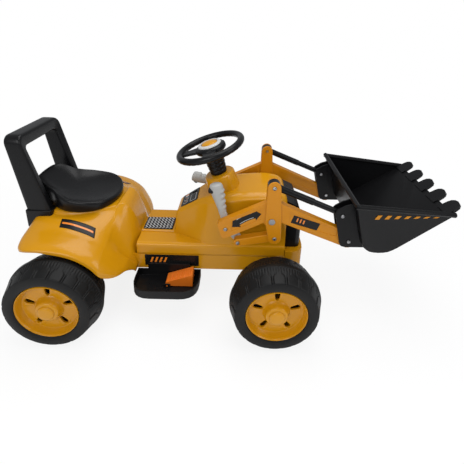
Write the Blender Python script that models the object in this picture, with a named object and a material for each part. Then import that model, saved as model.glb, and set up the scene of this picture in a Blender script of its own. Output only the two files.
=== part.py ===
"""Kids electric ride-on loader, built as separate pieces with their real joints.

Stations along X run forwards from the rear axle, Y is the vehicle's left and Z is up from the ground. All pieces
hang from one empty that puts the middle of the overall length at the origin. Sizes are in metres.
"""
import math

import bpy
import numpy as np
from mathutils import Matrix, Vector

# Clearances
SEAT_GAP = 0.0003
RUNNING_GAP = 0.0003
TYRE_FIT = 0.0006
SIDE_GAP = 0.0004

# Wheels
WHEELBASE = 0.544
TYRE_RADIUS = 0.1155
TYRE_WIDTH = 0.095
TREAD_LUGS = 20
TREAD_DEPTH = 0.0022
RIDGE_HALF = 0.0050
SHOULDER_HALF_WIDTH = 0.0455
SHOULDER_RADIUS = 0.1020
SIDE_WALL_RADIUS = 0.0876
RIM_RADIUS = 0.075
RIM_WALL = 0.0033
RIM_STEPS = 20
RIM_SLOTS = 5
RIM_SLOT_RADIUS = 0.0475
RIM_SLOT_LENGTH = 0.024
RIM_SLOT_WIDTH = 0.012
HUB_BOSS_RADIUS = 0.026
HUB_CAP_RADIUS = 0.0195
HUB_CAP_HEIGHT = 0.006
WHEEL_CENTRE_Y = 0.2065
AXLE_RADIUS = 0.005

# Chassis tray
TRAY_HALF = 0.088
TRAY_WALL = 0.003
TRAY_FLOOR = 0.0035
TRAY_BOTTOM = 0.108
TRAY_TOP = 0.155
TRAY_REAR = -0.078
REAR_BOX_FRONT = 0.108
REAR_BOX_TOP = 0.222
BUMPER_REAR = 0.5795
BUMPER_FRONT = 0.632
BUMPER_TOP = 0.174

# Bodywork
SKIN = 0.003
SPLIT_X = 0.1657
HOOD_FRONT = 0.578
PLATFORM_TOP = 0.1945
PLATFORM_EDGE = 0.190
SEAT_BASE_TOP = 0.285
FENDER_HALF = 0.205

# Seat and back handle
SEAT_REAR = -0.112
SEAT_FRONT = 0.103
SEAT_HALF = 0.095
HANDLE_TOP = 0.494
HANDLE_FOOT = 0.290
HANDLE_HALF = 0.094
HANDLE_SIDE = 0.023
HANDLE_BAR = 0.034
HANDLE_REAR_TOP = -0.143
HANDLE_REAR_FOOT = -0.112
HANDLE_DEPTH_TOP = 0.039
HANDLE_DEPTH_FOOT = 0.061
SOCKET_BOTTOM = 0.240
SOCKET_LIP = 0.003

# Footrests and pedal
FOOTREST_REAR = 0.167
FOOTREST_FRONT = 0.344
FOOTREST_OUT = 0.174
FOOTREST_CORNER = 0.050
FOOTREST_BOTTOM = 0.083
FOOTREST_RIM = 0.107
FOOTREST_WALL = 0.003
PEDAL_REAR = 0.251
PEDAL_LENGTH = 0.075
PEDAL_HALF = 0.0175
PEDAL_MIDDLE_Y = -0.115
PEDAL_LIFT = 0.001
PEDAL_RISE = 0.038
PEDAL_PIN = 0.0025

# Steering
WHEEL_HUB = (0.361, 0.448)
COLUMN_TILT = math.radians(18.4)
STEERING_RADIUS = 0.0885
STEERING_TUBE = 0.0095
STEERING_HUB_RADIUS = 0.043
HORN_RING_OUTER = 0.033
HORN_BUTTON_RADIUS = 0.023
SHAFT_RADIUS = 0.005
COLUMN_GAP = 0.0010
CRANK_Z = 0.133
BRIDGE_Z = 0.1465
CRANK_LENGTH = 0.026
CRANK_PIN = 0.0035
BOSS_TOP_Z = 0.372
BOSS_RADIUS = 0.043
BOOT_LOW_RADIUS = 0.0235
BOOT_HIGH_RADIUS = 0.029
BOOT_RIBS = 5
KINGPIN_Y = 0.130
KINGPIN_RADIUS = 0.005
STEERING_ARM = 0.054
TIE_ROD_THICKNESS = 0.003
TIE_ROD_WIDTH = 0.014
TIE_PIN = 0.003
BEAM_PLATE = 0.006
BEAM_LUG_BOTTOM = 0.1365
KNUCKLE_RADIUS = 0.011

# Loader
ARM_MIDDLE = 0.120
ARM_THICKNESS = 0.0186
PLATE = 0.004
BOLT_HEAD = 0.003
BOLT_RADIUS = 0.004
BOLT_HEAD_RADIUS = 0.0062
PIVOT_O = (0.530, 0.3015)
PIVOT_T = (0.531, 0.3965)
PIVOT_K = (0.540, 0.250)
PIVOT_P = (0.412, 0.272)
TAIL_AHEAD = 0.033
LINK_CLEAR = 0.006
PIVOT_U = (0.7095, 0.3233)
PIVOT_B = (0.7345, 0.2475)
ARM_APEX = (0.531, 0.333)
ARM_HALF_REAR = 0.0245
ARM_HALF_APEX = 0.030
ARM_HALF_FRONT = 0.0245
PANEL_DEPTH = 0.0015
ROCKER_END = 0.0165
LINK_HALF = 0.0105
PIVOT_L = (PIVOT_P[0] + TAIL_AHEAD, PIVOT_P[1] - (ARM_HALF_REAR + LINK_HALF + LINK_CLEAR))
ARM_PANEL_FRONT = ((0.575, 0.327), (0.705, 0.2795), (0.7015, 0.2595), (0.575, 0.2975))
ARM_PANEL_REAR = ((0.428, 0.297), (0.503, 0.335), (0.503, 0.305), (0.428, 0.267))
BARREL_RADIUS = 0.010
PUSH_ROD_RADIUS = 0.008
ROD_EYE_FRONT = 0.0125
BARREL_SHARE = 0.58
ROD_SLACK = 0.0020
LINK_SLACK = 0.0015
LEVER_PLATE = 0.008
GRIP_LENGTH = 0.122
GRIP_ANGLE = math.radians(101)
GRIP_SHIFT = 0.0030
LEFT_LEVER_BACK = math.radians(60)
TAIL_END = 0.011

# Bucket
BUCKET_REAR_TOP = (0.731, 0.3685)
BUCKET_BACK = (0.752, 0.289)
BUCKET_REAR_LOW = (0.763, 0.252)
BUCKET_HEEL = (0.780, 0.2385)
BUCKET_BELLY = (0.806, 0.234)
BUCKET_TOE = (0.831, 0.2365)
BUCKET_TURN = (0.851, 0.247)
BUCKET_LIP = (0.985, 0.345)
BUCKET_HALF_REAR = 0.162
BUCKET_HALF_FRONT = 0.149
BUCKET_WALL = 0.0035
BUCKET_BEAD = 0.0068
TOOTH_LENGTH = 0.030
TOOTH_HALF = 0.0185
TOOTH_PITCH = 0.0605
TOOTH_THICKNESS = 0.0075
TOOTH_COUNT = 5
# The hinge plates' side view, measured from the bucket's lower pivot
HINGE_PLATE = ((-0.0460, 0.0885), (-0.0210, -0.0175), (0.0505, -0.0165), (0.0355, 0.0145), (0.0060, 0.1145),
               (-0.0225, 0.1045))

# Nose grille, battery and small plates
GRILLE_FRONT = 0.6235
GRILLE_HALF = 0.0665
GRILLE_BROW = (0.6225, 0.262)
GRILLE_TOP = (0.612, 0.306)
GRILLE_REAR_TOP = 0.3215
GRILLE_SLOTS = 6
GRILLE_SLOT_PITCH = 0.0155
GRILLE_SLOT_DEPTH = 0.007
BATTERY_REAR = 0.178
BATTERY_SIZE = (0.100, 0.070, 0.047)
TREAD_PLATE_FRONT = 0.2545
TREAD_PLATE_HALF = 0.029
TREAD_RIBS = 9
TREAD_RIB_PITCH = 0.0087
PANEL_START = 0.281
PANEL_LENGTH = 0.056

# Values worked out from the driving sizes
LIP_ANGLE = math.atan2(BUCKET_LIP[1] - BUCKET_TURN[1], BUCKET_LIP[0] - BUCKET_TURN[0])
TOOTH_TIP_X = BUCKET_LIP[0] + TOOTH_LENGTH * math.cos(LIP_ANGLE)
CENTRE_X = (TOOTH_TIP_X + HANDLE_REAR_TOP) / 2
AXLE_Z = TYRE_RADIUS
FLOOR_TOP = TRAY_BOTTOM + TRAY_FLOOR
INNER_PLATE_IN = ARM_MIDDLE - ARM_THICKNESS / 2 - SIDE_GAP - PLATE
INNER_PLATE_OUT = INNER_PLATE_IN + PLATE
ARM_IN = ARM_MIDDLE - ARM_THICKNESS / 2
ARM_OUT = ARM_MIDDLE + ARM_THICKNESS / 2
OUTER_PLATE_IN = ARM_OUT + SIDE_GAP
OUTER_PLATE_OUT = OUTER_PLATE_IN + PLATE
HEAD_IN = OUTER_PLATE_OUT + SIDE_GAP
TIE_ROD_TOP = TRAY_BOTTOM - 2 * SIDE_GAP
KNUCKLE_BOTTOM = TRAY_BOTTOM + SIDE_GAP
COLUMN_AXIS = Vector((-math.sin(COLUMN_TILT), 0, math.cos(COLUMN_TILT)))
RIGHT, LEFT = -1, 1


def clear_scene():
    """Removes whatever the file holds."""
    for item in list(bpy.data.objects):
        bpy.data.objects.remove(item, do_unlink=True)


def paint(name, colour, roughness, metallic=0.0):
    """Makes a material with one Principled shader."""
    made = bpy.data.materials.new(name)
    made.use_nodes = True
    shader = made.node_tree.nodes["Principled BSDF"]
    shader.inputs["Base Color"].default_value = (*colour, 1)
    shader.inputs["Roughness"].default_value = roughness
    shader.inputs["Metallic"].default_value = metallic
    return made


clear_scene()
YELLOW = paint("yellow_plastic", (0.76, 0.36, 0.02), 0.25)
ORANGE = paint("orange_plastic", (0.74, 0.25, 0.02), 0.35)
BLACK = paint("black_plastic", (0.012, 0.012, 0.013), 0.40)
TYRE = paint("tyre_plastic", (0.018, 0.018, 0.018), 0.60)
GREY = paint("grey_plastic", (0.36, 0.37, 0.37), 0.45)
STEEL = paint("zinc_steel", (0.55, 0.55, 0.56), 0.30, 1.0)
MOTOR = paint("motor_steel", (0.40, 0.40, 0.42), 0.35, 1.0)


# Frames that carry the pieces

def frame(name, place, parent=None, tilt=0.0):
    """Adds an empty at a place given from the rear axle, turned about Y by tilt."""
    empty = bpy.data.objects.new(name, None)
    empty.empty_display_size = 0.02
    bpy.context.scene.collection.objects.link(empty)
    start = Vector(parent["place"]) if parent else Vector((0, 0, 0))
    empty.location = Vector(place) - start
    empty.rotation_euler = (0, tilt, 0)
    empty.parent = parent
    empty["place"] = tuple(place)
    return empty


VEHICLE = frame("vehicle", (0, 0, 0))
VEHICLE.location = (-CENTRE_X, 0, 0)


def signed_volume(points, faces):
    """Six times the volume inside the faces, negative where they point inwards."""
    total = 0.0
    for f in faces:
        first = points[f[0]]
        for i in range(1, len(f) - 1):
            total += float(np.dot(first, np.cross(points[f[i]], points[f[i + 1]])))
    return total


def piece(name, verts, faces, paint_used, carrier=None, local=False, smooth=35):
    """Makes a mesh object; its points are given from the rear axle, or in the carrier's own frame if local."""
    carrier = carrier or VEHICLE
    points = np.asarray(verts, float)
    if signed_volume(points, faces) < 0:
        faces = [f[::-1] for f in faces]
    if not local:
        points = points - np.array(carrier["place"])
    mesh = bpy.data.meshes.new(name)
    mesh.from_pydata([tuple(p) for p in points], [], [tuple(int(i) for i in f) for f in faces])
    mesh.validate()
    mesh.update()
    made = bpy.data.objects.new(name, mesh)
    bpy.context.scene.collection.objects.link(made)
    made.parent = carrier
    mesh.materials.append(paint_used)
    mesh.shade_smooth()
    mesh.set_sharp_from_angle(angle=math.radians(smooth))
    return made


def combine(base, others, operation):
    """Adds a Boolean with each other object, which stays in the file as a guide."""
    for other in others:
        step = base.modifiers.new(operation.lower(), "BOOLEAN")
        step.operation = operation
        step.solver = "EXACT"
        step.object = other
        other.hide_render = True
        other.display_type = "WIRE"
    return base


def join(base, *others):
    """Fuses the others with the base."""
    return combine(base, others, "UNION")


def cut(base, *others):
    """Takes the others out of the base."""
    return combine(base, others, "DIFFERENCE")


def round_edges(made, width, segments=2, angle=40):
    """Rounds the edges sharper than angle, in degrees."""
    step = made.modifiers.new("round", "BEVEL")
    step.width = width
    step.segments = segments
    step.limit_method = "ANGLE"
    step.angle_limit = math.radians(angle)
    step.use_clamp_overlap = True
    return made


# Outlines and solids

def arc(centre, radius, start, end, steps):
    """Points on an arc, angles in degrees."""
    turns = np.radians(np.linspace(start, end, steps))
    return [(centre[0] + radius * math.cos(t), centre[1] + radius * math.sin(t)) for t in turns]


def circle(centre, radius, steps=16):
    """Points on a whole circle."""
    return arc(centre, radius, 0, 360 * (1 - 1 / steps), steps)


def rounded(corners, radii, steps=4):
    """An outline whose corners are rounded, each by its own radius."""
    count = len(corners)
    radii = [radii] * count if isinstance(radii, (int, float)) else radii
    outline = []
    for i in range(count):
        here = np.array(corners[i], float)
        before = np.array(corners[i - 1], float) - here
        after = np.array(corners[(i + 1) % count], float) - here
        u, v = before / np.linalg.norm(before), after / np.linalg.norm(after)
        half = math.acos(max(-1, min(1, float(u @ v)))) / 2
        if radii[i] <= 0 or half > math.radians(89):
            outline.append(tuple(here))
            continue
        reach = radii[i] / math.tan(half)
        start, end = here + u * reach, here + v * reach
        for k in range(steps + 1):
            t = k / steps
            middle = (1 - t) ** 2 * start + 2 * t * (1 - t) * here + t ** 2 * end
            outline.append(tuple(middle))
    return outline


def hull_of_discs(discs, steps=10):
    """The tight outline round discs, each (centre, radius), in order along a bar and back."""
    points = []
    for centre, radius in discs:
        points += circle(centre, radius, steps * 2)
    points = sorted(set((round(x, 7), round(z, 7)) for x, z in points))

    def chain(ordered):
        kept = []
        for p in ordered:
            while len(kept) > 1:
                (ax, ay), (bx, by) = kept[-2], kept[-1]
                if (bx - ax) * (p[1] - ay) - (by - ay) * (p[0] - ax) > 1e-12:
                    break
                kept.pop()
            kept.append(p)
        return kept[:-1]

    return chain(points) + chain(points[::-1])


def area_of(outline):
    """The area inside an outline, negative where it runs clockwise."""
    a = np.array(outline)
    b = np.roll(a, -1, axis=0)
    return float(np.sum(a[:, 0] * b[:, 1] - b[:, 0] * a[:, 1]) / 2)


def prism(outline, low, high, plane):
    """A solid with the outline in a plane ("xz", "xy" or "yz"), from low to high along the third axis."""
    outline = list(outline)
    if area_of(outline) < 0:
        outline = outline[::-1]
    place = {"xz": lambda a, b, c: (a, c, b), "xy": lambda a, b, c: (a, b, c),
             "yz": lambda a, b, c: (c, a, b)}[plane]
    count = len(outline)
    verts = [place(a, b, low) for a, b in outline] + [place(a, b, high) for a, b in outline]
    bottom, top = list(range(count))[::-1], list(range(count, 2 * count))
    sides = [(i, (i + 1) % count, (i + 1) % count + count, i + count) for i in range(count)]
    faces = [bottom, top] + sides
    if plane == "xz":
        faces = [f[::-1] for f in faces]
    return verts, faces


def box(low, high):
    """A block between two opposite corners."""
    (x0, y0, z0), (x1, y1, z1) = low, high
    return prism([(x0, y0), (x1, y0), (x1, y1), (x0, y1)], z0, z1, "xy")


def turned(profile, steps, close=True):
    """Turns a profile of (radius, height) about Z; a closed profile runs anticlockwise and misses the axis."""
    turns = np.linspace(0, 2 * math.pi, steps, endpoint=False)
    count = len(profile)
    verts = [(r * math.cos(t), r * math.sin(t), h) for t in turns for r, h in profile]
    faces = []
    for s in range(steps):
        a, b = s * count, ((s + 1) % steps) * count
        for i in range(count if close else count - 1):
            j = (i + 1) % count
            faces.append((a + i, b + i, b + j, a + j))
    if not close:
        faces.append([s * count for s in range(steps)][::-1])
        faces.append([s * count + count - 1 for s in range(steps)])
    return np.array(verts), faces


def along(verts, start, direction):
    """Moves points so that their Z axis runs along a direction from start."""
    turn = Vector((0, 0, 1)).rotation_difference(Vector(direction)).to_matrix()
    return np.asarray(verts) @ np.array(turn).T + np.array(start)


def bar(start, end, radius, steps=12, end_radius=None):
    """A round bar between two points."""
    start, end = Vector(start), Vector(end)
    length = (end - start).length
    verts, faces = turned([(radius, 0), (radius if end_radius is None else end_radius, length)], steps, close=False)
    return along(verts, start, end - start), faces


def bore(start, end, radius, steps=8):
    """A cutter between two points whose flat sides clear the radius."""
    return bar(start, end, (radius + RUNNING_GAP) / math.cos(math.pi / steps), steps)


def loft(rings, close_ring=True, caps=True):
    """Skins rings that have the same number of points."""
    count = len(rings[0])
    verts = np.concatenate([np.asarray(r, float) for r in rings])
    faces = []
    for k in range(len(rings) - 1):
        a, b = k * count, (k + 1) * count
        for i in range(count if close_ring else count - 1):
            j = (i + 1) % count
            faces.append((a + i, a + j, b + j, b + i))
    if caps:
        faces.append(list(range(count))[::-1])
        faces.append([(len(rings) - 1) * count + i for i in range(count)])
    return verts, faces


def smooth_line(points, steps):
    """A Catmull-Rom line through points, with steps pieces to each span."""
    p = np.asarray(points, float)
    ends = np.concatenate([[2 * p[0] - p[1]], p, [2 * p[-1] - p[-2]]])
    line = []
    for i in range(len(p) - 1):
        a, b, c, d = ends[i:i + 4]
        for t in np.linspace(0, 1, steps, endpoint=False):
            line.append(0.5 * (2 * b + (c - a) * t + (2 * a - 5 * b + 4 * c - d) * t ** 2
                               + (3 * b - a - 3 * c + d) * t ** 3))
    line.append(p[-1])
    return np.array(line)


def table_value(x, table):
    """Reads one value at x from a table of (x, value) pairs, straight between the pairs."""
    return float(np.interp(x, [t[0] for t in table], [t[1] for t in table]))


def column_point(z):
    """The point of the steering column's axis at height z."""
    return Vector((WHEEL_HUB[0] + (WHEEL_HUB[1] - z) * math.tan(COLUMN_TILT), 0, z))


# Chassis

def rounded_plan(rear, front, half, rear_corner, front_corner):
    """A rectangle in plan with its corners rounded."""
    return rounded([(rear, -half), (front, -half), (front, half), (rear, half)],
                   [rear_corner, front_corner, front_corner, rear_corner], 4)


def build_chassis():
    """The lower tray: floor, walls, taller box between the rear wheels, bumper and axle bearings."""
    tray = piece("chassis_tray", *prism(rounded_plan(TRAY_REAR, BUMPER_FRONT, TRAY_HALF, 0.02, 0.035),
                                        TRAY_BOTTOM, TRAY_TOP, "xy"), YELLOW)
    rear_box = piece("chassis_rear_box", *prism(rounded_plan(TRAY_REAR, REAR_BOX_FRONT, TRAY_HALF, 0.02, 0.004),
                                                TRAY_BOTTOM, REAR_BOX_TOP, "xy"), YELLOW)
    nose = rounded_plan(BUMPER_REAR, BUMPER_FRONT, TRAY_HALF, 0.001, 0.035)
    bumper = piece("chassis_bumper", *prism(nose, TRAY_BOTTOM, BUMPER_TOP, "xy"), YELLOW)
    join(tray, rear_box, bumper)
    inside = TRAY_HALF - TRAY_WALL
    hollow = piece("chassis_hollow", *prism(
        rounded_plan(TRAY_REAR + TRAY_WALL, BUMPER_REAR - TRAY_WALL, inside, 0.017, 0.004),
        FLOOR_TOP, REAR_BOX_TOP + 0.02, "xy"), YELLOW)
    cut(tray, hollow)
    # Bearing blocks for the rear axle, ribs across the floor, and posts under the seat
    for side in (RIGHT, LEFT):
        low, high = sorted((side * (inside - 0.012), side * (inside + 0.001)))
        block = piece("axle_block", *box((-0.016, low, TRAY_BOTTOM + 0.001), (0.016, high, AXLE_Z + 0.018)), YELLOW)
        low, high = sorted((side * 0.040, side * 0.044))
        post = piece("seat_post", *box((-0.062, low, FLOOR_TOP - 0.001),
                                       (-0.030, high, SEAT_BASE_TOP - SKIN - 3 * SEAT_GAP)), YELLOW)
        join(tray, block, post)
    for station in (0.300, 0.400, 0.500):
        rib = piece("floor_rib", *box((station - 0.0015, -inside - 0.001, FLOOR_TOP - 0.001),
                                      (station + 0.0015, inside + 0.001, FLOOR_TOP + 0.006)), YELLOW)
        join(tray, rib)
    step = column_point(BRIDGE_Z)
    bridge = piece("column_bridge", *box((step.x - 0.014, -inside - 0.001, BRIDGE_Z - 0.004),
                                         (step.x + 0.014, inside + 0.001, BRIDGE_Z + 0.004)), YELLOW)
    bridge_bore = piece("bridge_bore", *bore(column_point(BRIDGE_Z - 0.02), column_point(BRIDGE_Z + 0.02),
                                             SHAFT_RADIUS, 12), STEEL)
    cut(join(tray, bridge), bridge_bore)
    axle_bore = piece("axle_bore", *bore((0, -TRAY_HALF - 0.01, AXLE_Z), (0, TRAY_HALF + 0.01, AXLE_Z),
                                         AXLE_RADIUS, 14), STEEL)
    gear_window = piece("gear_window", *box((-0.036, -0.060, TRAY_BOTTOM - 0.01), (0.064, 0.060, FLOOR_TOP + 0.003)),
                        STEEL)
    crank_window = piece("crank_window", *box((0.425, -0.032, TRAY_BOTTOM - 0.01), (0.486, 0.032, FLOOR_TOP + 0.012)),
                         STEEL)
    cut(tray, axle_bore, gear_window, crank_window)
    return tray


# Rear shell

REAR_STATIONS = (-0.1060, -0.1030, -0.0960, -0.0840, -0.0640, -0.0350, 0.0, 0.035, 0.066, 0.090, 0.105, 0.112,
                 0.122, 0.134, 0.144, 0.152, 0.158, 0.1625, SPLIT_X)
PEDESTAL_TOP = ((-0.106, 0.258), (-0.103, 0.270), (-0.096, 0.281), (-0.084, SEAT_BASE_TOP), (0.105, SEAT_BASE_TOP),
                (0.112, 0.2895), (0.122, 0.2885), (0.134, 0.280), (0.144, 0.264), (0.152, 0.243), (0.158, 0.220),
                (0.1625, 0.200), (SPLIT_X, 0.192))
PEDESTAL_HALF = ((-0.106, 0.055), (-0.084, 0.074), (-0.035, 0.086), (0.0, 0.088), (0.05, 0.080), (0.08, 0.067),
                 (0.108, 0.051), (0.134, 0.041), (0.152, 0.035), (SPLIT_X, 0.032))
VALLEY_HALF = ((-0.106, 0.085), (-0.084, 0.105), (0.0, 0.112), (0.06, 0.118), (0.083, 0.122), (0.105, 0.120),
               (0.117, 0.115), (0.135, 0.108), (0.152, 0.101), (SPLIT_X, 0.093))
VALLEY_HEIGHT = ((-0.106, 0.247), (-0.096, 0.263), (-0.084, 0.271), (-0.05, 0.2765), (0.0, 0.278), (0.03, 0.2745),
                 (0.06, 0.266), (0.083, 0.2555), (0.105, 0.236), (0.117, 0.2145), (0.135, 0.183), (0.152, 0.1572),
                 (0.158, 0.1435), (SPLIT_X, 0.1255))
CREST_HEIGHT = ((-0.106, 0.242), (-0.096, 0.254), (-0.084, 0.260), (-0.05, 0.264), (0.0, 0.264), (0.03, 0.2605),
                (0.06, 0.253), (0.083, 0.243), (0.105, 0.2275), (0.117, 0.2125), (0.135, 0.186), (0.152, 0.161),
                (0.158, 0.147), (SPLIT_X, 0.1285))
CREST_HALF = ((-0.106, 0.102), (-0.096, 0.122), (-0.084, 0.136), (-0.05, 0.146), (0.06, 0.148), (0.09, 0.148),
              (0.117, 0.142), (0.135, 0.133), (0.152, 0.118), (0.1625, 0.105), (SPLIT_X, 0.0985))
LIP_HALF = ((-0.106, 0.125), (-0.103, 0.142), (-0.096, 0.163), (-0.084, 0.187), (-0.064, 0.201), (-0.04, FENDER_HALF),
            (0.105, FENDER_HALF), (0.112, 0.203), (0.122, 0.196), (0.134, 0.184), (0.144, 0.168), (0.152, 0.148),
            (0.158, 0.131), (0.1625, 0.117), (SPLIT_X, 0.107))
LIP_HEIGHT = ((-0.106, 0.226), (-0.096, 0.232), (-0.084, 0.237), (-0.064, 0.2435), (-0.035, 0.2465), (-0.015, 0.2450),
              (0.0, 0.2415), (0.035, 0.2340), (0.066, 0.2200), (0.090, 0.2015), (0.105, 0.1835), (0.112, 0.1755),
              (0.122, 0.1665), (0.134, 0.1585), (0.144, 0.1525), (0.152, 0.1470), (0.158, 0.1360), (0.1625, 0.1240),
              (SPLIT_X, 0.1120))


def rear_section(x):
    """Half of the rear shell's section at x, from the middle out to the mudguard's lip."""
    top, half = table_value(x, PEDESTAL_TOP), table_value(x, PEDESTAL_HALF)
    crest_y, lip_y = table_value(x, CREST_HALF), table_value(x, LIP_HALF)
    crest_z, lip_z = table_value(x, CREST_HEIGHT), table_value(x, LIP_HEIGHT)
    width, drop = lip_y - crest_y, crest_z - lip_z
    return np.array([(0, top), (half * 0.93, top - 0.0005), (half + 0.006, top - 0.009),
                     (table_value(x, VALLEY_HALF), table_value(x, VALLEY_HEIGHT)),
                     (crest_y, crest_z + 0.001), (crest_y + 0.30 * width, crest_z - 0.08 * drop),
                     (lip_y - 0.33 * width, crest_z - 0.27 * drop), (lip_y - 0.10 * width, crest_z - 0.50 * drop),
                     (lip_y, crest_z - 0.75 * drop), (lip_y, lip_z)])


def closed_ring(x, half):
    """A whole section from its left half: over the top from right to left, closed straight below."""
    return [(x, -y, z) for y, z in half[:0:-1]] + [(x, y, z) for y, z in half]


def moulding(name, stations, section, lining, rear_share, paint_used):
    """A thin-walled moulding, open below: a lofted solid less its lining, which ends a skin short of both ends."""
    outer = loft([closed_ring(x, section(x)) for x in stations])
    shell = piece(name, *outer, paint_used)
    rings = []
    for x in stations:
        share = (x - stations[0]) / (stations[-1] - stations[0])
        shift = SKIN * max(-1, min(1, (rear_share - share) / 0.12))
        rings.append(closed_ring(x + shift, lining(x)))
    cut(shell, piece(f"{name}_lining", *loft(rings), paint_used))
    return shell


def rear_lining(x):
    """The inside of the rear shell's section, run on past the lip."""
    crest_y, lip_y = table_value(x, CREST_HALF), table_value(x, LIP_HALF)
    inside = [(y - SKIN * max(0, (y - crest_y) / (lip_y - crest_y)), z - SKIN) for y, z in rear_section(x)]
    return np.array(inside + [(inside[-1][0], inside[-1][1] - 0.02)])


def build_rear_shell():
    """Seat pedestal and mudguards in one moulding."""
    shell = moulding("rear_shell", REAR_STATIONS, rear_section, rear_lining, 0.4, YELLOW)
    tray_room = piece("tray_room", *box((SPLIT_X - 0.02, -TRAY_HALF - SEAT_GAP, 0.09),
                                        (SPLIT_X + 0.02, TRAY_HALF + SEAT_GAP, TRAY_TOP + SEAT_GAP)), STEEL)
    cut(shell, tray_room)
    for side in (RIGHT, LEFT):
        cut(shell, piece("socket_hole", *socket_block(side, SEAT_GAP, 0.01), STEEL))
    return shell


def socket_block(side, grow, extra=0.0):
    """The block round one foot of the handle, grown sideways and lengthened up and down."""
    low, high = sorted((side * (HANDLE_HALF - HANDLE_SIDE - SOCKET_LIP - grow),
                        side * (HANDLE_HALF + SOCKET_LIP + grow)))
    return box((HANDLE_REAR_FOOT - SOCKET_LIP - grow, low, SOCKET_BOTTOM - extra),
               (HANDLE_REAR_FOOT + HANDLE_DEPTH_FOOT + SOCKET_LIP + grow, high, HANDLE_FOOT + extra))


# Front body

FRONT_STATIONS = (SPLIT_X + SEAT_GAP, 0.257, 0.263, 0.268, 0.276, 0.300, 0.325, 0.345, 0.360, 0.378, 0.400,
                  0.440, 0.520, 0.555, 0.571, HOOD_FRONT)
HOOD_TOP = ((SPLIT_X, PLATFORM_TOP), (0.257, PLATFORM_TOP), (0.263, 0.204), (0.268, 0.252), (0.276, 0.268),
            (0.345, 0.3125), (0.360, 0.320), (0.378, 0.326), (0.400, 0.331), (0.430, 0.337), (0.470, 0.342),
            (0.520, 0.345), (0.548, 0.343), (0.562, 0.339), (0.571, 0.333), (HOOD_FRONT, 0.324))
HOOD_TOP_HALF = ((SPLIT_X, 0.030), (0.276, 0.031), (0.325, 0.036), (0.345, 0.041), (0.378, 0.048), (0.43, 0.052),
                 (0.52, 0.054), (HOOD_FRONT, 0.050))
SHOULDER_HALF = ((SPLIT_X, 0.0335), (0.257, 0.0345), (0.276, 0.037), (0.325, 0.044), (0.345, 0.052), (0.360, 0.061),
                 (0.378, 0.069), (0.400, 0.074), (0.43, 0.077), (0.52, 0.079), (0.562, 0.077), (HOOD_FRONT, 0.073))
SHOULDER_DROP = ((SPLIT_X, 0.001), (0.263, 0.002), (0.276, 0.006), (0.345, 0.009), (0.40, 0.012), (HOOD_FRONT, 0.012))
WAIST_HALF = ((SPLIT_X, 0.0355), (0.257, 0.037), (0.276, 0.044), (0.300, 0.053), (0.325, 0.066), (0.345, 0.076),
              (0.360, 0.081), (0.378, 0.0835), (0.400, 0.084), (HOOD_FRONT, 0.084))


def front_section(x):
    """Half of the front body's section at x, from the middle out and down to the tray's wall."""
    top = table_value(x, HOOD_TOP)
    shoulder_z = top - table_value(x, SHOULDER_DROP)
    waist_y = table_value(x, WAIST_HALF)
    waist_z = min(PLATFORM_EDGE + 0.001, shoulder_z - 0.002)
    shoulder_y = table_value(x, SHOULDER_HALF)
    line = smooth_line([(0, top), (table_value(x, HOOD_TOP_HALF), top), (shoulder_y, shoulder_z)], 2)[[0, 2, 3, 4]]
    side = [(shoulder_y + 0.25 * (waist_y - shoulder_y) + 0.0008, shoulder_z - 0.25 * (shoulder_z - waist_z)),
            (waist_y, waist_z)]
    edge_y = max(TRAY_HALF - 0.006, waist_y + 0.0008)
    skirt = [(edge_y, PLATFORM_EDGE), (TRAY_HALF, PLATFORM_EDGE - 0.007), (TRAY_HALF, TRAY_TOP + SEAT_GAP)]
    return np.concatenate([line, side, skirt])


def front_lining(x):
    """The inside of the front body's section, run on past its lower edge."""
    inside = [(y - SKIN * min(1, y / 0.020), z - SKIN) for y, z in front_section(x)]
    return np.array(inside[:-1] + [(inside[-1][0], inside[-1][1] - 0.02)])


def build_front_body():
    """Platform, dash neck, column boss and hood in one moulding, with bosses for the loader's axle."""
    body = moulding("front_body", FRONT_STATIONS, front_section, front_lining, 0.6, YELLOW)
    foot = column_point(BOSS_TOP_Z) - COLUMN_AXIS * 0.062
    boss = piece("column_boss", *bar(foot, column_point(BOSS_TOP_Z), BOSS_RADIUS * 1.06, 24, BOSS_RADIUS), YELLOW)
    round_edges(boss, 0.006, 2, 60)
    join(body, boss)
    boss_hollow = piece("boss_hollow", *bar(foot - COLUMN_AXIS * 0.02, column_point(BOSS_TOP_Z) - COLUMN_AXIS * 0.006,
                                            BOSS_RADIUS - 0.006, 16), STEEL)
    cut(body, boss_hollow)
    for side in (RIGHT, LEFT):
        start = (PIVOT_O[0], side * 0.072, PIVOT_O[1])
        end = (PIVOT_O[0], side * (INNER_PLATE_IN - SIDE_GAP), PIVOT_O[1])
        join(body, piece("axle_boss", *bar(start, end, 0.017, 14, 0.014), YELLOW))
    column_bore = piece("column_bore", *bore(column_point(0.30), column_point(0.40), SHAFT_RADIUS + COLUMN_GAP),
                        STEEL)
    pivot_bore = piece("pivot_bore", *bore((PIVOT_O[0], -0.12, PIVOT_O[1]), (PIVOT_O[0], 0.12, PIVOT_O[1]),
                                           AXLE_RADIUS, 12), STEEL)
    cut(body, column_bore, pivot_bore)
    return body


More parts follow.
